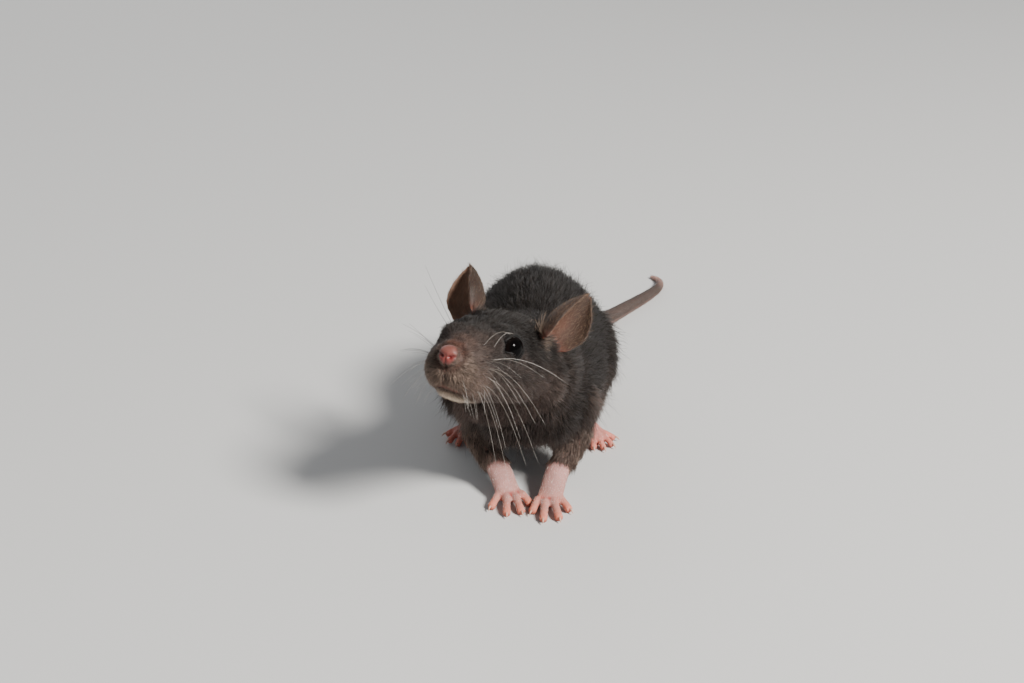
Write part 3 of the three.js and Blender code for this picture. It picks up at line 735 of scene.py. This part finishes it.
def node(tree, kind, **values):
    """A new node with its properties, and its inputs set by name."""
    made = tree.nodes.new(kind)
    for key, value in values.items():
        if hasattr(made, key):
            setattr(made, key, value)
        else:
            made.inputs[key.replace("_", " ")].default_value = value
    return made


def maths(tree, operation, first, second=None):
    """The outcome of an operation on numbers or other nodes' outputs."""
    made = tree.nodes.new("ShaderNodeMath")
    made.operation = operation
    for slot, value in zip(made.inputs, (first, second)):
        if isinstance(value, (int, float)):
            slot.default_value = value
        elif value is not None:
            tree.links.new(value, slot)
    return made.outputs[0]


def scaled(tree, value, factor, offset):
    """value * factor + offset."""
    return maths(tree, "ADD", maths(tree, "MULTIPLY", value, factor), offset)


def texture(tree, kind, output, **values):
    """An output of a texture on the piece's own coordinates."""
    made = node(tree, kind, **values)
    tree.links.new(node(tree, "ShaderNodeTexCoord").outputs["Object"], made.inputs["Vector"])
    return made.outputs[output]


def new_finish(name):
    """A material, its nodes and its shader."""
    made = bpy.data.materials.new(name)
    made.use_nodes = True
    return made, made.node_tree, made.node_tree.nodes["Principled BSDF"]


skin_relief, group_in, group_out = shader_group(
    "skin_relief",
    [("Bare", "NodeSocketFloat", 0.0), ("Scales", "NodeSocketFloat", 0.0), ("Ring", "NodeSocketFloat", 0.0)],
    [("Height", "NodeSocketFloat"), ("Mottle", "NodeSocketFloat")],
)
pores = texture(skin_relief, "ShaderNodeTexNoise", "Fac", Scale=2600.0, Detail=4.0, Roughness=0.6)
creases = texture(skin_relief, "ShaderNodeTexVoronoi", "Distance", feature="DISTANCE_TO_EDGE", Scale=1500.0)
blotch = texture(skin_relief, "ShaderNodeTexNoise", "Fac", Scale=420.0, Detail=3.0, Roughness=0.55)
ring_wave = maths(skin_relief, "SINE", group_in.outputs["Ring"])
crease_low = maths(skin_relief, "MINIMUM", maths(skin_relief, "MULTIPLY", creases, 6.0), 1.0)
bare_height = maths(skin_relief, "MULTIPLY", maths(skin_relief, "MULTIPLY", crease_low, 0.7),
                    group_in.outputs["Bare"])
ring_height = maths(skin_relief, "MULTIPLY", maths(skin_relief, "ADD", ring_wave, crease_low),
                    group_in.outputs["Scales"])
height = maths(skin_relief, "ADD", maths(skin_relief, "MULTIPLY", pores, 0.6),
               maths(skin_relief, "ADD", bare_height, ring_height))
skin_relief.links.new(height, group_out.inputs["Height"])
skin_relief.links.new(scaled(skin_relief, blotch, 0.5, 0.75), group_out.inputs["Mottle"])

skin_finish, tree, shader = new_finish("rat_skin")
shader.inputs["Subsurface Weight"].default_value = 0.18
shader.inputs["Subsurface Radius"].default_value = (1.0, 0.35, 0.2)
shader.inputs["Subsurface Scale"].default_value = 0.0009
shader.inputs["Specular IOR Level"].default_value = 0.3
tint_node = node(tree, "ShaderNodeAttribute", attribute_name="tint")
kind_node = node(tree, "ShaderNodeAttribute", attribute_name="kind")
kinds = node(tree, "ShaderNodeSeparateColor")
tree.links.new(kind_node.outputs["Color"], kinds.inputs[0])
relief = tree.nodes.new("ShaderNodeGroup")
relief.node_tree = skin_relief
tree.links.new(kinds.outputs["Red"], relief.inputs["Bare"])
tree.links.new(kinds.outputs["Green"], relief.inputs["Scales"])
tree.links.new(kind_node.outputs["Alpha"], relief.inputs["Ring"])
shade = node(tree, "ShaderNodeVectorMath", operation="SCALE")
tree.links.new(tint_node.outputs["Color"], shade.inputs[0])
tree.links.new(relief.outputs["Mottle"], shade.inputs["Scale"])
tree.links.new(shade.outputs[0], shader.inputs["Base Color"])
rough = maths(tree, "SUBTRACT", 0.62, maths(tree, "MULTIPLY", kinds.outputs["Blue"], 0.42))
tree.links.new(rough, shader.inputs["Roughness"])
bump = node(tree, "ShaderNodeBump", Strength=0.55, Distance=0.00012)
tree.links.new(relief.outputs["Height"], bump.inputs["Height"])
tree.links.new(bump.outputs["Normal"], shader.inputs["Normal"])

RING_SPACING = 0.62  # between the tail's rings of scales
SKIN_SHARE = 0.325  # of the faces, kept mostly where the skin shows
shaped.clear_geometry()
shaped.from_pydata((place * MM).tolist(), [], faces)
for label, values in (
    ("tint", np.column_stack([skin_tint.clip(0, 1), np.ones(count)])),
    ("kind", np.column_stack([(rose + 0.4 * nose_pad + 0.3 * ear_mask).clip(0, 1), tail_mask, wet,
                              tail_run * 2 * math.pi / RING_SPACING])),
):
    shaped.attributes.new(label, "FLOAT_COLOR", "POINT").data.foreach_set(
        "color", values.astype(np.float32).reshape(-1))
shaped.shade_smooth()
shaped.materials.append(skin_finish)
hidden = skin.vertex_groups.new(name="under_fur")
cover = np.where((lid_q > 1.5) & (nostril < 0.1), 0.02 + 0.98 * furred * np.clip(hair_length - 1.2, 0, 1), 0)
cover = (cover * 50).round() / 50
for level in np.unique(cover[cover > 0]):
    hidden.add(np.flatnonzero(cover == level).tolist(), float(level), "REPLACE")
lighter = skin.modifiers.new("fewer_faces_under_fur", "DECIMATE")
lighter.ratio = SKIN_SHARE
lighter.vertex_group = "under_fur"
lighter.vertex_group_factor = 2e-6  # small: it is weighed against squared metres
modified(skin)
skin.vertex_groups.clear()
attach(skin, "root")
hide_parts(*flesh)

# ---------- eyes ----------
# A rat's eyes are large, round and so dark that iris and pupil look like one. Each is a wet ball whose cornea
# bulges a little, held by the lids.
def attribute(tree, name):
    """The value of a mesh's attribute."""
    return node(tree, "ShaderNodeAttribute", attribute_name=name).outputs["Fac"]


def blend(tree, share, first, second):
    """A colour between two, by a share that varies over the surface."""
    made = node(tree, "ShaderNodeMix", data_type="RGBA")
    made.inputs["A"].default_value = first
    made.inputs["B"].default_value = second
    tree.links.new(share, made.inputs["Factor"])
    return made.outputs["Result"]


def riding(name, mesh, finish, slot, *replaced):
    """A finished mesh as a piece of the rat, in the place of some of the frame's nodes."""
    mesh.shade_smooth()
    mesh.materials.append(finish)
    piece = placed(name, mesh)
    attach(piece, "root")
    if replaced:
        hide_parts(*replaced)
    return piece


eye_finish, tree, shader = new_finish("wet_black_eye")
streaks = texture(tree, "ShaderNodeTexNoise", "Fac", Scale=900.0, Detail=5.0)
iris_share = maths(tree, "MULTIPLY", attribute(tree, "iris"), streaks)
iris = blend(tree, iris_share, (0.0016, 0.0014, 0.0014, 1), (0.0065, 0.004, 0.0032, 1))
tree.links.new(iris, shader.inputs["Base Color"])
dull_edge = maths(tree, "MULTIPLY", attribute(tree, "edge"), 0.6)
tree.links.new(maths(tree, "ADD", scaled(tree, streaks, 0.03, 0.02), dull_edge), shader.inputs["Roughness"])
shader.inputs["IOR"].default_value = 1.3
shader.inputs["Specular IOR Level"].default_value = 0.1
CORNEA_BULGE, CORNEA_WIDTH = 0.035, 38  # a share of the ball's radius; degrees off the eye's axis
IRIS_AT, IRIS_WIDTH = 44, 9  # degrees off the axis
DULL_FROM, DULL_WIDTH = 42, 12  # degrees off the axis; the ball loses its gloss under the lids
for side, sign in (("left", 1), ("right", -1)):
    form = bmesh.new()
    middle = HEAD_TURN @ (EYE_AT * (sign, 1, 1)) + HEAD_AT
    ball = bmesh.ops.create_uvsphere(form, u_segments=72, v_segments=48, radius=EYE_RADIUS)["verts"]
    forward = HEAD_TURN @ (EYE_LOOK * (sign, 1, 1))
    shade_of, edge_of = [], []
    for v in ball:
        off_axis = math.degrees(math.acos(max(-1, min(1, v.co.normalized().dot(Vector(forward))))))
        v.co *= 1 + CORNEA_BULGE * math.exp(-((off_axis / CORNEA_WIDTH) ** 2))
        shade_of.append(math.exp(-(((off_axis - IRIS_AT) / IRIS_WIDTH) ** 2)))
        edge_of.append(min(1, max(0, (off_axis - DULL_FROM) / DULL_WIDTH)))
        v.co = (v.co + Vector(middle)) * MM
    mesh = mesh_of(form, "eyeball_" + side)
    for label, values in (("iris", shade_of), ("edge", edge_of)):
        mesh.attributes.new(label, "FLOAT", "POINT").data.foreach_set("value", values)
    riding("eyeball_" + side, mesh, eye_finish, "eye", "eye_" + side)

# ---------- claws ----------
# A small curved claw of clear pale horn grows from the end of every finger and toe.
claw_finish, tree, shader = new_finish("pale_horn")
grain = texture(tree, "ShaderNodeTexNoise", "Fac", Scale=1800.0, Detail=3.0)
tree.links.new(blend(tree, grain, (0.40, 0.19, 0.13, 1), (0.58, 0.38, 0.29, 1)), shader.inputs["Base Color"])
tree.links.new(scaled(tree, grain, 0.15, 0.36), shader.inputs["Roughness"])
CLAW = (  # reach past the toe's end, height, half width, half thickness
    (-0.6, 1.05, 0.22, 0.20), (0.30, 1.25, 0.25, 0.24), (0.75, 1.08, 0.19, 0.19), (1.08, 0.74, 0.11, 0.11),
    (1.22, 0.50, 0.04, 0.04),
)
for side in ("left", "right"):
    for limb_name, toes in (("hand", FINGERS[side]), ("foot", FEET[side][1])):
        form = bmesh.new()
        for root, tip in toes:
            out = (np.array(tip, float) - root) * (1, 1, 0)
            out /= np.linalg.norm(out)
            claw = [(*(tip + out * reach)[:2], height, half, thick) for reach, height, half, thick in CLAW]
            limb(form, claw, around=12, along=14, ends=(0.2, 0.08))
        name = "claws_%s_%s" % (limb_name, side)
        riding(name, mesh_of(form, name), claw_finish, "bare_skin")

# ---------- the coat ----------
# The coat is many thousands of fine closed tufts, each rooted in the skin, rising a little and bending back
# to lie along the body. It is made in pieces by part of the body, each of one joined mesh.
TUFT_BEND = 0.6  # share of its lift that a tuft has lost at its tip
ROOT_DEPTH, LOWEST = 0.10, 0.15  # how deep a tuft stands in the skin, and how far it stays off the floor
BAKE_PATCH = 0.003  # width of a tuft's own patch on the bake
a, b, c = (place[triangles[:, k]] for k in range(3))
triangle_size = 0.5 * np.linalg.norm(np.cross(b - a, c - a), axis=1)


def scatter(density, rng):
    """Roots spread by a density per square millimetre: their triangles and shares of the corners."""
    weight = np.cumsum(triangle_size * density[triangles].mean(axis=1))
    total = int(weight[-1])
    spot = (np.arange(total) + rng.random(total)) / total * weight[-1]
    which = np.searchsorted(weight, spot).clip(0, len(triangles) - 1)
    u, v = rng.random((2, total))
    swap = u + v > 1
    u[swap], v[swap] = 1 - u[swap], 1 - v[swap]
    return which, np.stack([1 - u - v, u, v], axis=1)


def on_roots(values, which, share):
    """The skin's values at the roots."""
    return np.einsum("nk,nk...->n...", share, values[triangles[which]])


def unit(vectors):
    """Vectors drawn out to a length of 1."""
    return vectors / np.linalg.norm(vectors, axis=1)[:, None].clip(1e-9)


def rooted(density, spread, rng, swirls=()):
    """Scattered roots: triangles and shares, places, ways out of the skin, and the hairs' ways along it."""
    spots = scatter(density, rng)
    root = on_roots(place, *spots)
    up = unit(on_roots(normal, *spots))
    way = on_roots(lie, *spots)
    way = unit(way - up * np.sum(way * up, axis=1)[:, None])
    spin = rng.normal(0, spread, len(root))
    for amount, size, seed in swirls:
        spin = spin + amount * ripple(root, size, seed)
    return spots, root, up, way * np.cos(spin)[:, None] + np.cross(up, way) * np.sin(spin)[:, None]


def tufts(name, slot, finish, root, up, way, length, width, lift, look, map_at, rings=(0.42,)):
    """One piece of the coat: closed tufts, each with a root, rings of three points, and a tip."""
    n = len(root)
    over = np.cross(up, way)
    levels = (0.0, *rings, 1.0)
    at = root - up * ROOT_DEPTH
    points, along = [at], [np.zeros(n)]
    for k in range(1, len(levels)):
        tilt = np.radians(lift) * (1 - TUFT_BEND * (k - 1) / (len(levels) - 2))
        step = way * np.cos(tilt)[:, None] + up * np.sin(tilt)[:, None]
        at = at + step * (length * (levels[k] - levels[k - 1]))[:, None]
        at[:, 2] = at[:, 2].clip(LOWEST, None)
        if k < len(levels) - 1:
            thick = width / 2 * (1.0 if k == 1 else 0.7)
            for turn in range(3):
                angle = 2 * math.pi * turn / 3 + 0.5
                rim = over * math.cos(angle) + np.cross(over, step) * math.sin(angle)
                points.append(at + rim * thick[:, None])
                along.append(np.full(n, levels[k]))
        else:
            points.append(at)
            along.append(np.ones(n))
    corner = np.stack(points, axis=1)
    shape = [(0, 2, 1), (0, 3, 2), (0, 1, 3)]
    for ring in range(len(rings) - 1):
        i = 1 + 3 * ring
        for k in range(3):
            j = (k + 1) % 3
            shape += [(i + k, i + j, i + 3 + j), (i + k, i + 3 + j, i + 3 + k)]
    i, tip = 1 + 3 * (len(rings) - 1), 1 + 3 * len(rings)
    shape = np.array(shape + [(i, i + 1, tip), (i + 1, i + 2, tip), (i + 2, i, tip)])
    each = corner.shape[1]
    face_points = (shape[None] + each * np.arange(n)[:, None, None]).reshape(-1)
    mesh = bpy.data.meshes.new(name)
    mesh.vertices.add(n * each)
    mesh.vertices.foreach_set("co", (corner.reshape(-1) * MM).astype(np.float32))
    mesh.loops.add(len(face_points))
    mesh.loops.foreach_set("vertex_index", face_points.astype(np.int32))
    mesh.polygons.add(len(face_points) // 3)
    mesh.polygons.foreach_set("loop_start", np.arange(0, len(face_points), 3, dtype=np.int32))
    mesh.polygons.foreach_set("loop_total", np.full(len(face_points) // 3, 3, dtype=np.int32))
    colours = np.empty((n, each, 4), np.float32)
    colours[:, :, :3] = look[:, None, :]
    colours[:, :, 3] = np.stack(along, axis=1)
    mesh.attributes.new("hair", "FLOAT_COLOR", "POINT").data.foreach_set("color", colours.reshape(-1))
    middle = [(level - 0.5, (k - 1) * 0.5) for level in rings for k in range(3)]
    across = [(-0.5, 0.0)] + middle + [(0.5, 0.0)]
    spot = map_at[:, None, :] + np.array(across)[None] * BAKE_PATCH
    patch = mesh.uv_layers.new(name="OFBake")
    patch.data.foreach_set("uv", spot.reshape(-1, 2)[face_points].reshape(-1).astype(np.float32))
    mesh.update()
    return riding(name, mesh, finish, slot)


def hair_finish(name, root_shade, tip_shade, roughness, sheen):
    """Hair that is darker at the root than at the tip, in the colour of the skin's marking where it grows."""
    made, tree, shader = new_finish(name)
    hair = node(tree, "ShaderNodeAttribute", attribute_name="hair")
    bands = texture(tree, "ShaderNodeTexNoise", "Fac", Scale=700.0, Detail=3.0)
    rise = scaled(tree, maths(tree, "POWER", hair.outputs["Alpha"], 0.8), tip_shade - root_shade, root_shade)
    rise = maths(tree, "MULTIPLY", rise, scaled(tree, bands, 0.6, 0.7))
    shade = node(tree, "ShaderNodeVectorMath", operation="SCALE")
    tree.links.new(hair.outputs["Color"], shade.inputs[0])
    tree.links.new(rise, shade.inputs["Scale"])
    tree.links.new(shade.outputs[0], shader.inputs["Base Color"])
    shader.inputs["Roughness"].default_value = roughness
    shader.inputs["Specular IOR Level"].default_value = 0.16
    shader.inputs["Sheen Weight"].default_value = sheen
    shader.inputs["Sheen Roughness"].default_value = 0.45
    return made


fur = hair_finish("grey_fur", 0.45, 1.4, 0.60, 0.05)
rng = np.random.default_rng(40)
spots, root, up, way = rooted(hair_count, 0.22, rng, ((0.22, 3.1, 21), (0.12, 1.3, 22)))
total = len(root)
length = on_roots(hair_length, *spots) * rng.uniform(0.65, 1.2, total)
width = on_roots(hair_width, *spots) * rng.uniform(0.6, 1.45, total)
lift = on_roots(hair_lift, *spots) * rng.uniform(0.5, 1.5, total) * (1 + 0.2 * ripple(root, 2.2, 23))
tone = np.exp(rng.normal(0, 0.22, total))
tone *= 1 + 0.16 * ripple(root, 1.5, 24)
tone *= 1 + 0.10 * ripple(root, 4.2, 25)
tone *= np.where(rng.random(total) < 0.07, 1.7, 1.0)
look = (on_roots(coat_tint, *spots) * tone[:, None]).clip(0, 0.9)
map_at = bake_place(root)
in_h = head_place(root)
part = np.array([sideless(n) for n in flesh])[region[triangles[spots[0], 0]]]
trunk = np.isin(part, ["chest", "loins"])
left_half = root[:, 0] - ORIGIN[0] > 0.5
piece_of = np.where(left_half, "coat_flank_left", "coat_flank_right").astype(object)
for name, held in (
    ("coat_back", trunk & (up[:, 2] > 0.5)),
    ("coat_belly", trunk & (up[:, 2] < -0.35)),
    ("coat_rump", trunk & (root[:, 1] > 2) & (up[:, 2] > -0.35)),
    ("coat_neck", part == "neck"),
    ("coat_forelegs", np.isin(part, ["upper_arm", "forearm"])),
    ("coat_haunches", np.isin(part, ["thigh", "shank", "foot"])),
    ("coat_tail_root", part == "tail_base"),
    ("coat_cheek_left", (part == "head") & (in_h[:, 0] > 0)),
    ("coat_cheek_right", (part == "head") & (in_h[:, 0] <= 0)),
    ("coat_crown", (part == "head") & (in_h[:, 2] > 5.0)),
    ("coat_muzzle", np.isin(part, ["muzzle", "nose"])),
    ("coat_chin", part == "jaw"),
):
    piece_of[held] = name
for name in sorted(set(piece_of)):
    held = piece_of == name
    tufts(name, "pale_coat" if name in ("coat_chin", "coat_muzzle") else "coat", fur,
          *(values[held] for values in (root, up, way, length, width, lift, look, map_at)))


def grow(name, slot, finish, density, look, seed, spread, length, width, lift, rings=(0.42,)):
    """A sparser piece of the coat, from values for every point of the skin."""
    rng = np.random.default_rng(seed)
    spots, root, up, way = rooted(density, spread, rng)
    n = len(root)
    values = [on_roots(np.broadcast_to(v, count), *spots) * rng.uniform(lo, hi, n)
              for v, lo, hi in ((length, 0.6, 1.25), (width, 0.7, 1.3), (lift, 0.6, 1.4))]
    shown = on_roots(look, *spots) * np.exp(rng.normal(0, 0.25, n))[:, None]
    tufts(name, slot, finish, root, up, way, *values, shown.clip(0, 0.95), bake_place(root), rings)


# ---------- guard hairs and down ----------
# Longer dark guard hairs stand out of the coat and soften its outline. Fine short down grows on the ears, the
# wrists, the hands and feet and along the tail, and pale hairs fringe the ears and tuft their roots.
LONG_HAIR_RINGS = (0.3, 0.7)  # shares of its length
guard_fur = hair_finish("guard_hair", 0.5, 1.1, 0.45, 0.0)
down_fur = hair_finish("pale_down", 0.85, 1.15, 0.5, 0.05)
trunk_share = soften(by_part({"chest": 1, "loins": 1, "neck": 0.9, "thigh": 0.8, "upper_arm": 0.5}), 20)
head_share = soften(by_part({"head": 1, "neck": 0.3}), 10) * ramp(to_eye, 4.0, 2.0)
ear_edge = ear_mask * np.clip(np.abs(np.sum((soften(place, 8) - place) * normal, axis=1)) / 0.10 - 0.6, 0, 1)
ear_look = plain("ear_down") * (1 + 0.9 * ear_inner + 1.0 * ear_edge)[:, None]
hand_down = soften(by_part({"hand": 1, "foot": 0.7, "forearm": 0.4, "shank": 0.3}), 4)
hand_down *= np.clip(normal[:, 2] + 0.5, 0, 1) * ramp(to_toe, 0.8, 2.0)
grow("guard_hairs_body", "coat", guard_fur, 0.85 * trunk_share, coat_tint * 0.55, seed=51, spread=0.35,
     length=7.8, width=0.06, lift=34.0, rings=LONG_HAIR_RINGS)
grow("guard_hairs_head", "coat", guard_fur, 1.3 * head_share, coat_tint * 0.8, seed=52, spread=0.35,
     length=4.2, width=0.07, lift=34.0, rings=LONG_HAIR_RINGS)
grow("down_ears", "ear_skin", down_fur, ear_mask * (8.0 + 10 * ear_edge), ear_look, seed=53, spread=0.3,
     length=1.15, width=0.042, lift=17.0)
ear_front = mirrored_bumps(h, [(1, EAR_BASE + (-0.5, -4.2, 1.0), (3.2, 2.0, 2.6))])
grow("tufts_ear_roots", "pale_coat", down_fur, 24.0 * ear_front.clip(0, 1) * (ear_front > 0.3),
     plain("ear_tufts"), seed=54, spread=0.3, length=3.6, width=0.05, lift=17.0, rings=LONG_HAIR_RINGS)
grow("down_hands_and_feet", "bare_skin", down_fur, 5.0 * hand_down, plain("hand_down"), seed=55, spread=0.25,
     length=0.95, width=0.045, lift=14.0)
grow("down_tail", "tail_skin", down_fur, 5.5 * tail_mask, plain("tail_down"), seed=56, spread=0.2,
     length=1.3, width=0.045, lift=13.0)

# ---------- whiskers ----------
# Long stiff hairs stand in five rows on the pad beside the nose, the longest at the back. The rat sweeps its
# left whiskers forward and down and its right ones back and up. A few more stand over the eyes and under the
# chin.
WHISKER_ROWS, WHISKER_COLUMNS = 5, 4
PAD_TOP = np.array([6.2, -14.4, -1.6])  # the back whisker of the top row, in the head's frame
PAD_STEP = np.array([0.0, -0.95, 0.0])  # to the next whisker
ROW_DROP = np.array([-0.35, -0.25, -1.45])  # to the row below
# Millimetres out from the face and down the bow, degrees back, degrees up in the top row and less in each row
# below it, and millimetres of thickness
SWEEP = {
    "left": {"out": 15.5, "drop": 16.0, "back": 22, "up": 26, "less": 10, "thick": 0.08, "seed": 61},
    "right": {"out": 15.0, "drop": 4.0, "back": 20, "up": 22, "less": 15, "thick": 0.10, "seed": 62},
}
# The whiskers are all of one greyish kind, in a lit and a shaded copy: the pale finish carries painted light,
# the dark finish painted shade, as whiskers look against a dark or a bright ground.
whisker_finish = {}
for shade, root_colour, tip_colour in (("pale", (0.24, 0.21, 0.18, 1), (0.64, 0.61, 0.57, 1)),
                                       ("dark", (0.035, 0.03, 0.028, 1), (0.09, 0.08, 0.075, 1))):
    whisker_finish[shade], tree, shader = new_finish(shade + "_whisker")
    along_hair = attribute(tree, "along")
    tree.links.new(blend(tree, along_hair, root_colour, tip_colour), shader.inputs["Base Color"])
    tree.links.new(scaled(tree, along_hair, 0.2, 0.28), shader.inputs["Roughness"])


def whisker(sign, root, back, up, out, drop, thick):
    """A whisker: points along its bow from where it stands on the skin, and its thickness."""
    start = h[on_face][np.argmin(np.sum((h[on_face] - np.array(root) * (sign, 1, 1)) ** 2, axis=1))]
    back, up = math.radians(back), math.radians(up)
    away = np.array([sign * math.cos(up) * math.cos(back), math.cos(up) * math.sin(back), math.sin(up)])
    down = HEAD_TURN.T @ np.array([0, -0.25, -1.0])
    points = []
    for share in (-1.2 / out, 0.0, 0.25, 0.5, 0.75, 1.0):
        points.append(start + away * out * share + down * drop * max(0, share) ** 2 * (1.25 - 0.25 * share))
    points = np.array(points) @ HEAD_TURN.T + HEAD_AT - ORIGIN
    points[:, 2] = points[:, 2].clip(1.0, None)
    return points, thick


def whisker_pad(side):
    """The rows of the pad beside the nose."""
    sign, sweep = 1 if side == "left" else -1, SWEEP[side]
    rng = np.random.default_rng(sweep["seed"])
    made = []
    for row in range(WHISKER_ROWS):
        for column in range(WHISKER_COLUMNS - row // 2):
            root = PAD_TOP + ROW_DROP * row + PAD_STEP * (column + 0.3 * (row % 2)) + rng.normal(0, 0.12, 3)
            out = (sweep["out"] - 2.2 * row) * (1 - 0.2 * column) * rng.uniform(0.85, 1.1)
            drop = sweep["drop"] * min(1, 0.55 + 0.3 * row) * (1 - 0.22 * column) * rng.uniform(0.85, 1.1)
            back = sweep["back"] - 10 * column + rng.normal(0, 7)
            up = sweep["up"] - sweep["less"] * row + rng.normal(0, 4)
            made.append(whisker(sign, root, back, up, out, drop, sweep["thick"] - 0.010 * column))
    return made


def fringe(sign, seed, amount):
    """Fine short hairs on the lips and the chin, drooping outwards."""
    rng = np.random.default_rng(seed)
    return [whisker(sign, (rng.uniform(2.0, 5.6), rng.uniform(-19.0, -14.0), rng.uniform(-9.6, -5.5)),
                    rng.uniform(-40, 20), rng.uniform(-65, -25), rng.uniform(2.5, 5.0), 2.2, 0.055)
            for _ in range(amount)]


def whisker_piece(name, shade, whiskers):
    """One mesh of whiskers, each tapering from its root to a fine tip."""
    form = bmesh.new()
    shares = []
    for points, thick in whiskers:
        half = thick / 2 * np.linspace(1, 0.36, len(points))
        before = len(form.verts)
        limb(form, [(*p, r, r) for p, r in zip(points, half)], around=6, along=26, ends=(0.02, 0.06))
        form.verts.ensure_lookup_table()
        spots = np.array([v.co for v in form.verts[before:]]) / MM - ORIGIN
        total = np.linalg.norm(points[-1] - points[0])
        shares += (np.linalg.norm(spots - points[0], axis=1) / total).clip(0, 1).tolist()
    mesh = mesh_of(form, name)
    mesh.attributes.new("along", "FLOAT", "POINT").data.foreach_set("value", shares)
    riding(name, mesh, whisker_finish[shade], "pale_coat")


BROW_WHISKERS = [((6.4, -8.4, 5.2), -96, 14, 12.8, 6.4, 0.08), ((7.0, -7.8, 5.0), -91, 12, 11.0, 5.6, 0.065)]
left_pad, right_pad = whisker_pad("left"), whisker_pad("right")
# The dark finish on these rows and on the far brow whiskers is painted shade.
upper = 2 * WHISKER_COLUMNS  # the right side's two upper rows are dark
whisker_piece("whiskers_left", "pale", left_pad + fringe(1, 63, 10) + [whisker(1, *w) for w in BROW_WHISKERS])
whisker_piece("whiskers_right", "pale", right_pad[upper:] + fringe(-1, 64, 10))
far_brow = [whisker(-1, (8.0, -10.2, 3.4), 14, 40, 15.0, -1.6, 0.11),
            whisker(-1, (8.4, -9.4, 3.2), 22, 30, 13.0, -1.2, 0.10)]
whisker_piece("whiskers_dark", "dark", right_pad[:upper] + far_brow)

# ---------- studio ----------
# A plain pale floor under a pale sky, a warm key lamp in front and to the right, a wide weak lamp behind, and
# a camera looking down at the rat from in front.
floor_form = bmesh.new()
bmesh.ops.create_grid(floor_form, x_segments=2, y_segments=2, size=4)
floor = placed("floor", mesh_of(floor_form, "floor"))
floor_finish, tree, shader = new_finish("pale_floor")
shader.inputs["Base Color"].default_value = (0.56, 0.56, 0.55, 1)
shader.inputs["Roughness"].default_value = 0.7
floor.data.materials.append(floor_finish)

sky = bpy.data.worlds.new("soft_sky")
bpy.context.scene.world = sky
sky.use_nodes = True
backdrop = sky.node_tree.nodes["Background"]
backdrop.inputs["Color"].default_value = (0.80, 0.82, 0.86, 1)
backdrop.inputs["Strength"].default_value = 0.36


def soft_lamp(name, at, size, power, tone=(1, 1, 1)):
    """A round lamp that is aimed at the rat's chest."""
    lamp = bpy.data.lights.new(name, "AREA")
    lamp.shape = "DISK"
    lamp.size = size
    lamp.energy = power
    lamp.color = tone
    held = placed(name, lamp)
    held.location = at
    held.rotation_euler = (Vector((-0.01, -0.03, 0.03)) - Vector(at)).to_track_quat("-Z", "Y").to_euler()


soft_lamp("key_lamp", (0.66, -0.62, 0.80), 0.30, 35.0, (1.0, 0.97, 0.93))
soft_lamp("back_lamp", (-0.50, 0.85, 0.45), 1.2, 4.0)

lens = bpy.data.cameras.new("camera")
lens.lens = 56.5
lens.sensor_width = 36.0
camera = placed("camera", lens)
camera.location = (-0.01412, -0.38181, 0.188)
camera.rotation_euler = (math.radians(65.7), 0, 0)
bpy.context.scene.camera = camera
